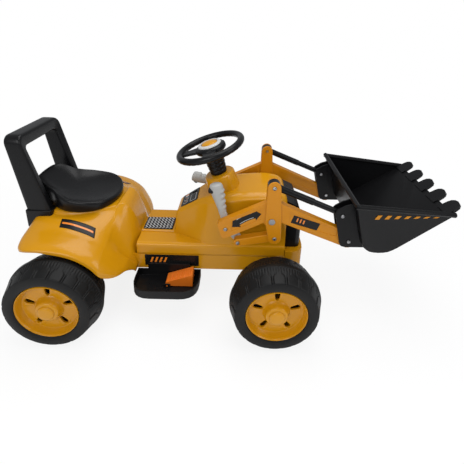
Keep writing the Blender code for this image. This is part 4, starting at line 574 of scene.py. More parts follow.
@dataclass
class Finishes:
    """Every material of the loader, made once."""

    made: dict[str, bpy.types.Material] = field(default_factory=dict)

    def build(self) -> "Finishes":
        """Makes the materials from their looks.

        Returns:
            Itself, filled.
        """
        group = moulded_group()
        looks = (
            Plastic("body_yellow", (0.53, 0.235, 0.003), roughness=0.24, gloss_change=0.10, grain_scale=700,
                    grain_depth=0.04, ripple=0.06, dust=0.0, coat=0.16, specular=0.22),
            Plastic("arm_orange", (0.54, 0.205, 0.004), roughness=0.32, gloss_change=0.10, grain_scale=800,
                    grain_depth=0.06, ripple=0.04, dust=0.0, coat=0.08, specular=0.22),
            Plastic("pedal_orange", (0.70, 0.16, 0.010), roughness=0.36, grain_scale=800, grain_depth=0.06,
                    ripple=0.04, dust=0.02, coat=0.05),
            Plastic("satin_black", (0.0045, 0.0045, 0.005), roughness=0.29, gloss_change=0.12,
                    shade_change=0.12, grain_scale=1100, grain_depth=0.08, ripple=0.05, dust=0.0,
                    specular=0.20),
            Plastic("bucket_black", (0.0045, 0.0045, 0.005), roughness=0.34, gloss_change=0.14,
                    shade_change=0.15, grain_scale=1000, grain_depth=0.10, ripple=0.08, dust=0.0,
                    specular=0.17),
            Plastic("tyre_black", (0.006, 0.006, 0.006), roughness=0.44, gloss_change=0.12,
                    shade_change=0.15, grain_scale=1300, grain_depth=0.12, ripple=0.04, dust=0.0,
                    specular=0.17),
            Plastic("grip_grey", (0.36, 0.36, 0.345), roughness=0.40, gloss_change=0.10, shade_change=0.06,
                    grain_depth=0.08, ripple=0.06, dust=0.03, coat=0.05),
            Plastic("ring_grey", (0.50, 0.50, 0.49), roughness=0.30, dust=0.02, coat=0.1),
            Plastic("label_black", (0.006, 0.006, 0.006), roughness=0.26, gloss_change=0.05,
                    grain_scale=500, grain_depth=0.02, ripple=0.02, dust=0.0, specular=0.22),
            Plastic("label_orange", (0.72, 0.20, 0.012), roughness=0.25, gloss_change=0.05,
                    shade_change=0.04, grain_scale=500, grain_depth=0.02, ripple=0.02, dust=0.01, coat=0.3),
            Plastic("label_white", (0.62, 0.62, 0.60), roughness=0.25, gloss_change=0.05, shade_change=0.04,
                    grain_scale=500, grain_depth=0.02, ripple=0.02, dust=0.01, coat=0.3),
            Plastic("tread_grey", (0.40, 0.405, 0.41), roughness=0.36, gloss_change=0.10, shade_change=0.06,
                    grain_depth=0.08, dust=0.03, coat=0.05),
            Metal("zinc", (0.36, 0.36, 0.37), 0.30),
        )
        for look in looks:
            self.made[look.name] = look.material(group)
        return self

    def __getitem__(self, name: str) -> bpy.types.Material:
        """The material of that name."""
        return self.made[name]


# Bodywork


@dataclass
class RearShell:
    """Seat pedestal and mudguards in one moulding."""

    skin: float = 0.003
    stations: tuple = (-0.1060, -0.1030, -0.0960, -0.0840, -0.0640, -0.0350, 0.0, 0.035, 0.066, 0.090,
                       0.105, 0.112, 0.122, 0.134, 0.144, 0.152, 0.158, 0.1625, 0.1657)
    top: tuple = ((-0.106, 0.258), (-0.103, 0.27), (-0.096, 0.281), (-0.084, 0.285), (0.105, 0.285),
                  (0.112, 0.2895), (0.122, 0.2885), (0.134, 0.28), (0.144, 0.264), (0.152, 0.243),
                  (0.158, 0.22), (0.1625, 0.2), (0.1657, 0.192))
    half: tuple = ((-0.106, 0.055), (-0.084, 0.074), (-0.035, 0.086), (0.0, 0.088), (0.05, 0.08),
                   (0.08, 0.067), (0.108, 0.051), (0.134, 0.041), (0.152, 0.035), (0.1657, 0.032))
    valley_half: tuple = ((-0.106, 0.085), (-0.084, 0.105), (0.0, 0.112), (0.06, 0.118), (0.083, 0.122),
                          (0.105, 0.12), (0.117, 0.115), (0.135, 0.108), (0.152, 0.101), (0.1657, 0.093))
    valley_height: tuple = ((-0.106, 0.247), (-0.096, 0.263), (-0.084, 0.271), (-0.05, 0.2765), (0.0, 0.278),
                            (0.03, 0.2745), (0.06, 0.266), (0.083, 0.2555), (0.105, 0.236), (0.117, 0.2145),
                            (0.135, 0.183), (0.152, 0.1572), (0.158, 0.1435), (0.1657, 0.1255))
    crest_height: tuple = ((-0.106, 0.242), (-0.096, 0.254), (-0.084, 0.26), (-0.05, 0.264), (0.0, 0.264),
                           (0.03, 0.2605), (0.06, 0.253), (0.083, 0.243), (0.105, 0.2275), (0.117, 0.2125),
                           (0.135, 0.186), (0.152, 0.161), (0.158, 0.147), (0.1657, 0.1285))
    crest_half: tuple = ((-0.106, 0.102), (-0.096, 0.122), (-0.084, 0.136), (-0.05, 0.146), (0.06, 0.148),
                         (0.09, 0.148), (0.117, 0.142), (0.135, 0.133), (0.152, 0.118), (0.1625, 0.105),
                         (0.1657, 0.0985))
    lip_half: tuple = ((-0.106, 0.125), (-0.103, 0.142), (-0.096, 0.163), (-0.084, 0.187), (-0.064, 0.201),
                       (-0.04, 0.205), (0.105, 0.205), (0.112, 0.203), (0.122, 0.196), (0.134, 0.184),
                       (0.144, 0.168), (0.152, 0.148), (0.158, 0.131), (0.1625, 0.117), (0.1657, 0.107))
    lip_height: tuple = ((-0.106, 0.226), (-0.096, 0.232), (-0.084, 0.237), (-0.064, 0.2435),
                         (-0.035, 0.2465), (-0.015, 0.245), (0.0, 0.2415), (0.035, 0.234), (0.066, 0.22),
                         (0.09, 0.2015), (0.105, 0.1835), (0.112, 0.1755), (0.122, 0.1665), (0.134, 0.1585),
                         (0.144, 0.1525), (0.152, 0.147), (0.158, 0.136), (0.1625, 0.124), (0.1657, 0.112))
    grid: Optional[Array] = None

    def net(self) -> Array:
        """Control net of half sections: pedestal, valley, crest and lip at every station.

        Returns:
            Grid of points, one row per station.
        """
        x = np.array(self.stations)
        top, half = table(self.top, x), table(self.half, x)
        crest_y, lip_y = table(self.crest_half, x), table(self.lip_half, x)
        crest, lip_z = table(self.crest_height, x), table(self.lip_height, x)
        width, drop = lip_y - crest_y, crest - lip_z
        y = np.stack([0 * x, half * 0.93, half + 0.006, table(self.valley_half, x), crest_y,
                      crest_y + 0.30 * width, lip_y - 0.33 * width, lip_y - 0.10 * width, lip_y, lip_y], 1)
        z = np.stack([top, top - 0.0005, top - 0.009, table(self.valley_height, x), crest + 0.001,
                      crest - 0.08 * drop, crest - 0.27 * drop, crest - 0.50 * drop, crest - 0.75 * drop,
                      lip_z], 1)
        return np.stack([np.broadcast_to(x[:, None], y.shape), y, z], 2)

    def build(self) -> bpy.types.Object:
        """The shell: the net made fine, mirrored, closed at both ends and thickened inwards.

        Returns:
            The shell.
        """
        fine = refined_net(self.net(), 6, 6)
        self.grid = fine
        both = np.concatenate([fine[:, :0:-1] * (1, -1, 1), fine], 1)
        rear, front = both[:1].copy(), both[-1:].copy()
        rear_rows = np.concatenate([rear * (1, 1, 1 - t) + (0, 0, t * rear[0, 0, 2]) for t in (1.0, 0.5)])
        front_rows = np.concatenate([front * (1, 1, 1 - t) + (0, 0, t * front[0, 0, 2]) for t in (0.5, 1.0)])
        rows = np.concatenate([rear_rows, both, front_rows])
        shell = grid_object("mudguard_shell", rows[:, ::-1], outwards=False)
        wall = shell.modifiers.new("wall", "SOLIDIFY")
        wall.thickness = self.skin
        wall.offset = -1
        wall.use_even_offset = False
        return shell

    def height(self, x: Array, y: Array) -> Array:
        """Height of the outer skin over points of the plan, read from the fine grid.

        Args:
            x: x of each point.
            y: y of each point, on either side.

        Returns:
            Height of each point.
        """
        rows = self.grid[:, 0, 0]
        k = np.clip(np.searchsorted(rows, x) - 1, 0, len(rows) - 2)
        t = (x - rows[k]) / (rows[k + 1] - rows[k])

        def read(row: int, value: float) -> float:
            """Height on one row of the grid.

            Args:
                row: number of the row.
                value: distance from the middle plane.

            Returns:
                The height there.
            """
            line = self.grid[row]
            last = int(np.argmax(line[:, 1]))
            return float(np.interp(value, line[:last + 1, 1], line[:last + 1, 2]))

        low = np.array([read(r, v) for r, v in zip(k.ravel(), np.abs(y).ravel())]).reshape(x.shape)
        high = np.array([read(r + 1, v) for r, v in zip(k.ravel(), np.abs(y).ravel())]).reshape(x.shape)
        return low + t * (high - low)

    def dress(self, finishes: Finishes) -> None:
        """Sets the shell on the root with its labels.

        Args:
            finishes: the loader's materials.
        """
        settle(self.build(), "root", finishes["body_yellow"], Slot.YELLOW, ["rear_shell"], 50)
        corners = np.array([(-0.012, 0.112), (0.076, 0.121), (0.081, 0.1455), (-0.008, 0.136)])
        for side in (RIGHT, LEFT):
            for name, shrink, lift, look in (("label", 0.0, FILM, "label_black"),
                                             ("label_stripe", 0.30, MARK, "label_orange")):
                u, v = np.meshgrid(np.linspace(shrink * 0.15, 1 - shrink * 0.15, 40),
                                   np.linspace(shrink * 1.35, 1 - shrink * 1.35, 12), indexing="ij")
                a, b, c, d = corners
                flat = ((1 - u)[..., None] * (1 - v)[..., None] * a + u[..., None] * (1 - v)[..., None] * b
                        + u[..., None] * v[..., None] * c + (1 - u)[..., None] * v[..., None] * d)
                z = self.height(flat[..., 0], flat[..., 1]) + lift
                grid = np.stack([flat[..., 0], flat[..., 1] * side, z], 2)
                made = grid_object(f"mudguard_{name}_{WORDS[side]}", grid[:, ::int(side)], outwards=False)
                film = made.modifiers.new("film", "SOLIDIFY")
                film.thickness = 0.0005
                film.offset = -1
                settle(made, "root", finishes[look], Slot.BLACK)


@dataclass
class FrontBody:
    """Platform, dash neck, column boss and hood."""

    skin: float = 0.003
    stations: tuple = (0.1660, 0.2000, 0.2350, 0.257, 0.263, 0.268, 0.276, 0.300, 0.325, 0.345, 0.360,
                       0.378, 0.400, 0.440, 0.480, 0.520, 0.555, 0.571, 0.578)
    top: tuple = ((0.1657, 0.1945), (0.257, 0.1945), (0.263, 0.204), (0.268, 0.252), (0.276, 0.268),
                  (0.345, 0.3125), (0.360, 0.320), (0.378, 0.326), (0.400, 0.331), (0.430, 0.337),
                  (0.470, 0.342), (0.520, 0.345), (0.548, 0.343), (0.562, 0.339), (0.571, 0.333),
                  (0.578, 0.324))
    top_half: tuple = ((0.1657, 0.030), (0.276, 0.031), (0.325, 0.036), (0.345, 0.041), (0.378, 0.048),
                       (0.43, 0.052), (0.52, 0.054), (0.578, 0.050))
    shoulder: tuple = ((0.1657, 0.0335), (0.257, 0.0345), (0.276, 0.037), (0.325, 0.044), (0.345, 0.052),
                       (0.360, 0.061), (0.378, 0.069), (0.400, 0.074), (0.43, 0.077), (0.52, 0.079),
                       (0.562, 0.077), (0.578, 0.073))
    drop: tuple = ((0.1657, 0.001), (0.263, 0.002), (0.276, 0.006), (0.345, 0.009), (0.40, 0.012),
                   (0.578, 0.012))
    waist: tuple = ((0.1657, 0.0355), (0.257, 0.037), (0.276, 0.044), (0.300, 0.053), (0.325, 0.066),
                    (0.345, 0.076), (0.360, 0.081), (0.378, 0.0835), (0.400, 0.084), (0.578, 0.084))
    ledge: float = 0.190
    side: float = 0.088
    foot: float = 0.1553
    stripe_count: int = 4
    stripe_start: float = 0.200
    stripe_pitch: float = 0.0125
    tread_low: float = 0.1948
    tread_ribs: int = 8
    tread_pitch: float = 0.0101
    tread_teeth: int = 11
    tread_swing: float = 0.0030

    def net(self) -> Array:
        """Control net of half sections: top, shoulder, side wall, ledge and skirt at every station.

        Returns:
            Grid of points, one row per station.
        """
        x = np.array(self.stations)
        top = table(self.top, x)
        shoulder_z = top - table(self.drop, x)
        waist_y, shoulder_y = table(self.waist, x), table(self.shoulder, x)
        waist_z = np.minimum(self.ledge + 0.001, shoulder_z - 0.002)
        mid_y = shoulder_y + 0.35 * (waist_y - shoulder_y)
        mid_z = shoulder_z - 0.35 * (shoulder_z - waist_z)
        edge = np.maximum(self.side - 0.006, waist_y + 0.0008)
        one = np.ones_like(x)
        crown_y = np.minimum(table(self.top_half, x), shoulder_y - 0.0055)
        y = np.stack([0 * x, crown_y, shoulder_y - 0.004, shoulder_y, mid_y, waist_y - 0.0003, waist_y,
                      edge - 0.0005, edge, self.side * one, self.side * one], 1)
        z = np.stack([top, top, shoulder_z + 0.0022, shoulder_z - 0.002, mid_z, waist_z + 0.002, waist_z,
                      self.ledge * one, self.ledge * one - 0.0004, self.ledge - 0.008 * one,
                      self.foot * one], 1)
        return np.stack([np.broadcast_to(x[:, None], y.shape), y, z], 2)

    def build(self) -> bpy.types.Object:
        """The moulding: the net made fine, mirrored, closed in front and behind and thickened inwards.

        Returns:
            The moulding.
        """
        fine = refined_net(self.net(), 5, 5)
        both = np.concatenate([fine[:, :0:-1] * (1, -1, 1), fine], 1)
        rear, front = both[:1].copy(), both[-1:].copy()
        flat = both[0, 0, 2]
        rear_rows = rear * (1, 1, 0) + (0, 0, flat)
        front_rows = front * (1, 1, 0) + (0, 0, flat)
        rows = np.concatenate([rear_rows, both, front_rows])
        body = grid_object("front_moulding", rows[:, ::-1], outwards=False)
        wall = body.modifiers.new("wall", "SOLIDIFY")
        wall.thickness = self.skin
        wall.offset = -1
        return body

    def dress(self, finishes: Finishes) -> None:
        """Sets the moulding, its bosses, labels and trim on the root.

        Args:
            finishes: the loader's materials.
        """
        settle(self.build(), "root", finishes["body_yellow"], Slot.YELLOW, ["front_body"], 40)
        column = Column()
        top = column.point(COLUMN_FOOT)
        boss = [(0.0, 0.0), (0.030, 0.0), (0.0385, -0.0008), (0.0418, -0.0035), (0.0432, -0.008),
                (0.0445, -0.030), (0.0460, -0.055)]
        made = lathe("column_boss", boss, top, column.axis, 72)
        settle(made, "root", finishes["body_yellow"], Slot.YELLOW)
        for side in (RIGHT, LEFT):
            stub = [(0.0, 0.0335), (0.0130, 0.0335), (0.0142, 0.0325), (0.0150, 0.030), (0.0185, 0.004),
                    (0.021, 0.0)]
            made = lathe(f"axle_boss_{WORDS[side]}", stub, (0.530, side * 0.072, 0.3015), (0, side, 0), 48)
            settle(made, "root", finishes["body_yellow"], Slot.YELLOW)
            label = corner_round([(0.187, 0.1175), (0.338, 0.1175), (0.338, 0.1535), (0.187, 0.1535)],
                                 0.001, 2)
            y = side * self.side
            made = prism(f"side_label_{WORDS[side]}", label, y, y + side * FILM)
            settle(made, "root", finishes["label_black"], Slot.BLACK)
            for k in range(self.stripe_count):
                x = self.stripe_start + k * self.stripe_pitch
                bar = [(x, 0.126), (x + 0.0055, 0.126), (x + 0.0125, 0.145), (x + 0.007, 0.145)]
                made = prism(f"side_stripe_{k}_{WORDS[side]}", np.array(bar), y, y + side * 0.0007)
                settle(made, "root", finishes["label_orange"], Slot.ORANGE)
        self.tread(finishes)
        Dash().dress(finishes)

    def tread(self, finishes: Finishes) -> None:
        """Foot plate between seat and dash: dark base with grey zigzag ribs.

        Args:
            finishes: the loader's materials.
        """
        low = self.tread_low
        outline = corner_round([(0.1690, -0.029), (0.2545, -0.029), (0.2545, 0.029), (0.1690, 0.029)],
                               0.003, 4)
        plate = bevel(prism("tread_base", outline, low, low + 0.0022, "xy"), 0.0006, 2)
        settle(plate, "root", finishes["label_black"], Slot.GREY, ["tread_plate"])
        y = np.linspace(-0.0270, 0.0270, self.tread_teeth)
        zig = np.where(np.arange(self.tread_teeth) % 2, self.tread_swing, -self.tread_swing)
        rows = np.arange(self.tread_ribs) * self.tread_pitch + 0.1765
        for k, x in enumerate(rows):
            x_line = x + zig
            ring = np.stack([np.concatenate([x_line - 0.0017, (x_line + 0.0017)[::-1]]),
                             np.concatenate([y, y[::-1]])], 1)
            rib = prism(f"tread_rib_{k}", ring, low + 0.001, low + 0.0031, "xy")
            settle(rib, "root", finishes["tread_grey"], Slot.GREY)


@dataclass
class Dash:
    """Instrument label on the neck's slope: two dials with ticks, three lamps, a field and a switch."""

    rear: tuple = (0.276, 0.268)
    front: tuple = (0.345, 0.3125)
    start_x: float = 0.281
    label: tuple = ((0, -0.030), (0.056, -0.035), (0.056, 0.035), (0, 0.030))
    face: float = 0.0018
    dials: tuple = ((0.014, -0.0175), (0.014, 0.0005))
    dial_radius: float = 0.0075
    field_radius: float = 0.0066
    ticks: int = 9
    tick_step: float = 30
    tick_ends: tuple = (0.0046, 0.0060)
    tick_half: float = 0.0003
    needle: tuple = ((-0.0008, -0.001), (0.0048, 0.0028), (0.0052, 0.0024), (-0.0004, -0.0016))
    lamps: tuple = ("label_white", "label_orange", "ring_grey")
    lamp_rows: tuple = (0.008, 0.020)
    lamp_start: float = 0.014
    lamp_pitch: float = 0.0062
    lamp_wide: float = 0.0045
    panels: tuple = (
        ("strip", ((0.030, -0.027), (0.050, -0.029), (0.050, 0.010), (0.030, 0.010)), 0.0015, 0.0018, 0.0021,
         "ring_grey"),
        ("field", ((0.0315, -0.0255), (0.0485, -0.0275), (0.0485, 0.0085), (0.0315, 0.0085)), 0.001, 0.0021,
         0.0023, "label_black"),
        ("switch", ((0.033, 0.016), (0.047, 0.016), (0.047, 0.025), (0.033, 0.025)), 0.001, 0.0018, 0.0045,
         "satin_black"))

    def lay(self, name: str, outline: Array, low: float, high: float, finish: bpy.types.Material,
            nodes: Sequence[str] = ()) -> None:
        """A flat piece on the slope: a point is the start plus its way up the slope, across and out.

        Args:
            name: piece name.
            outline: points as (up the slope, across).
            low: height of the piece's lower face over the slope.
            high: the same of its upper face.
            finish: its material.
            nodes: frame nodes that it replaces.
        """
        slope = math.atan2(self.front[1] - self.rear[1], self.front[0] - self.rear[0])
        start = np.array((self.start_x, 0.0, self.rear[1] + (self.start_x - self.rear[0]) * math.tan(slope)))
        ahead = np.array((math.cos(slope), 0, math.sin(slope)))
        up = np.array((-math.sin(slope), 0, math.cos(slope)))
        o = np.asarray(outline, float)
        rows = [start + o[:, :1] * ahead + o[:, 1:] * np.array((0, 1, 0)) + up * h for h in (low, high)]
        made = grid_object(name, np.stack(rows), wrap_columns=True, capped=True)
        settle(made, "root", finish, Slot.BLACK, nodes)

    def dial(self, k: int, centre: Array, finishes: Finishes) -> None:
        """A dial: white rim, dark field, ticks every few degrees and a needle.

        Args:
            k: the dial's number.
            centre: its place on the slope.
            finishes: the loader's materials.
        """
        white, black = finishes["label_white"], finishes["label_black"]
        self.lay(f"dial_face_{k}", circle(self.dial_radius, 40, centre), self.face, 0.0020, white)
        self.lay(f"dial_field_{k}", circle(self.field_radius, 40, centre), 0.0020, 0.0022, black)
        near, far = self.tick_ends
        for t in range(self.ticks):
            a = math.radians((t - 1) * self.tick_step)
            way, off = np.array((math.sin(a), math.cos(a))), np.array((math.cos(a), -math.sin(a)))
            half = off * self.tick_half
            tick = [centre + way * near + half, centre + way * far + half, centre + way * far - half,
                    centre + way * near - half]
            self.lay(f"dial_tick_{k}_{t}", np.array(tick), 0.0022, 0.0024, white)
        self.lay(f"dial_needle_{k}", centre + np.array(self.needle), 0.0022, 0.0025, finishes["label_orange"])

    def dress(self, finishes: Finishes) -> None:
        """Lays the label, dials, lamps and panels on the slope.

        Args:
            finishes: the loader's materials.
        """
        base = corner_round(self.label, 0.003, 4)
        self.lay("dash_label", base, 0.0003, self.face, finishes["label_black"], ["dash_panel"])
        for k, place in enumerate(self.dials):
            self.dial(k, np.array(place), finishes)
        rear, front = self.lamp_rows
        for k, look in enumerate(self.lamps):
            y = self.lamp_start + k * self.lamp_pitch
            y2 = y + self.lamp_wide
            patch = corner_round([(rear, y), (front, y), (front, y2), (rear, y2)], 0.0008, 2)
            self.lay(f"dash_lamp_{k}", patch, self.face, 0.0022, finishes[look])
        for name, corners, radius, low, high, look in self.panels:
            self.lay(f"dash_{name}", corner_round(corners, radius, 3), low, high, finishes[look])


@dataclass
class Column:
    """The tilted steering column's line."""

    hub: tuple = (0.361, 0.0, 0.448)
    tilt: float = math.radians(18.4)

    @property
    def axis(self) -> Array:
        """Unit vector up the column."""
        return np.array((-math.sin(self.tilt), 0.0, math.cos(self.tilt)))

    def point(self, z: float) -> Array:
        """Point of the axis at a height."""
        return np.array((self.hub[0] + (self.hub[2] - z) * math.tan(self.tilt), 0.0, z))

    def local(self, grid: Array) -> Array:
        """Turns points from the column's own frame, with z up the column, into the vehicle's.

        Args:
            grid: points from the hub.

        Returns:
            The points in the vehicle's frame.
        """
        c, s = math.cos(self.tilt), math.sin(self.tilt)
        turn = np.array(((c, 0, -s), (0, 1, 0), (s, 0, c)))
        return np.asarray(self.hub) + grid @ turn.T


@dataclass
class Seat:
    """Dished saddle seat."""

    plan: tuple = ((-0.112, 0.0), (-0.110, 0.030), (-0.100, 0.049), (-0.080, 0.061), (-0.058, 0.0665),
                   (-0.036, 0.080), (-0.010, 0.092), (0.015, 0.095), (0.040, 0.093), (0.067, 0.082),
                   (0.087, 0.060), (0.099, 0.030), (0.103, 0.0))
    line: tuple = ((-0.112, 0.360), (-0.095, 0.362), (-0.07, 0.347), (-0.035, 0.329), (0.0, 0.320),
                   (0.05, 0.314), (0.09, 0.306), (0.103, 0.300))
    base: float = 0.2853
    levels: tuple = ((0.955, 0.0, 0.0), (0.975, 0.03, 0.0), (0.985, 0.15, 0.0), (0.998, 0.5, 0.0),
                     (1.0, 0.72, 0.0), (0.996, 0.86, 0.0), (0.982, 0.95, 0.0), (0.958, 0.995, 0.0),
                     (0.925, 1.0, 0.001), (0.88, 1.0, 0.0035), (0.78, 1.0, 0.0075), (0.62, 1.0, 0.0115),
                     (0.42, 1.0, 0.014), (0.20, 1.0, 0.0155), (0.0, 1.0, 0.016))

    line_smooth: int = 25

    def build(self) -> bpy.types.Object:
        """Rings of the plan shrunk about its middle, each lifted towards the top line.

        Returns:
            The seat.
        """
        half = np.array(self.plan)
        knots = np.concatenate([half, half[-2:0:-1] * (1, -1)])
        ring = spaced(knots, 6, closed=True)
        middle = (self.plan[0][0] + self.plan[-1][0]) / 2
        line_x = np.linspace(self.plan[0][0], self.plan[-1][0], 200)
        span = self.line_smooth
        line_z = np.convolve(np.pad(table(self.line, line_x), span // 2, "edge"), np.ones(span) / span,
                             "valid")
        scale, lift, fall = np.array(self.levels).T
        x = middle + (ring[None, :, 0] - middle) * scale[:, None]
        y = ring[None, :, 1] * scale[:, None]
        top = np.interp(x, line_x, line_z)
        z = self.base + lift[:, None] * (top - self.base) - fall[:, None]
        grid = np.stack([x, y, z], 2)
        return grid_object("saddle", grid, wrap_columns=True, capped=True)

    def dress(self, finishes: Finishes) -> None:
        """Sets the seat on the root."""
        settle(self.build(), "root", finishes["satin_black"], Slot.BLACK, ["seat"], 60)


@dataclass
class BackHandle:
    """The inverted U behind the seat: a rounded box section carried along the U."""

    half: float = 0.094
    side: float = 0.023
    bar: float = 0.034
    foot: float = 0.288
    top: float = 0.494
    rear_foot: float = -0.112
    rear_top: float = -0.143
    depth_foot: float = 0.061
    depth_top: float = 0.039
    bend_out: float = 0.021
    bend_in: float = 0.012
    squareness: float = 0.34
    corner_points: int = 14
    leg_points: int = 16
    ring_points: int = 40
    socket_x: tuple = (-0.115, -0.048)
    socket_y: tuple = (0.068, 0.097)
    socket_z: tuple = (0.2405, 0.290)

    def build(self) -> bpy.types.Object:
        """Each section runs from the inner outline to the outer one, with a superellipse for its corners.

        Returns:
            The handle.
        """
        bend = np.radians(np.linspace(0, 90, self.corner_points))

        def outline(half: float, top: float, radius: float) -> Array:
            """Right leg, corner, bar, corner and left leg, as (y, z).

            Args:
                half: distance of a leg from the middle plane.
                top: the bar's height.
                radius: the corner's radius.

            Returns:
                Points along it.
            """
            leg = np.linspace(self.foot, top - radius, self.leg_points)
            right = np.stack([np.full(self.leg_points, -half), leg], 1)
            turn = np.stack([-half + radius * (1 - np.cos(bend)), top - radius * (1 - np.sin(bend))], 1)[1:]
            across = np.linspace(-half + radius, half - radius, self.corner_points)[1:-1]
            bar = np.stack([across, np.full(len(across), top)], 1)
            left = (np.concatenate([right, turn]) * (-1, 1))[::-1]
            return np.concatenate([right, turn, bar, left])

        outer = outline(self.half, self.top, self.bend_out)
        inner = outline(self.half - self.side, self.top - self.bar, self.bend_in)
        middle, reach = (outer + inner) / 2, (outer - inner) / 2
        share = (middle[:, 1] - self.foot) / (self.top - self.foot)
        rear = self.rear_foot + share * (self.rear_top - self.rear_foot)
        depth = self.depth_foot + share * (self.depth_top - self.depth_foot)
        turn = full_turn(self.ring_points)
        a = np.sign(np.cos(turn)) * np.abs(np.cos(turn)) ** self.squareness
        b = np.sign(np.sin(turn)) * np.abs(np.sin(turn)) ** self.squareness
        grid = np.zeros((len(outer), self.ring_points, 3))
        grid[:, :, 0] = (rear + depth / 2)[:, None] + b * depth[:, None] / 2
        grid[:, :, 1:] = middle[:, None, :] + a[None, :, None] * reach[:, None, :]
        return grid_object("back_handle_bar", grid, wrap_columns=True, capped=True)

    def dress(self, finishes: Finishes) -> None:
        """Sets the handle and its two sockets on the root.

        Args:
            finishes: the loader's materials.
        """
        settle(self.build(), "root", finishes["satin_black"], Slot.BLACK, ["back_handle"], 50)
        for side in (RIGHT, LEFT):
            (rear, front), (near, far) = self.socket_x, (side * v for v in self.socket_y)
            outline = corner_round([(rear, near), (front, near), (front, far), (rear, far)], 0.004, 5)
            socket = bevel(prism(f"handle_socket_{WORDS[side]}", outline, *self.socket_z, "xy"), 0.0015, 3)
            settle(socket, "root", finishes["satin_black"], Slot.BLACK)


# Wheels


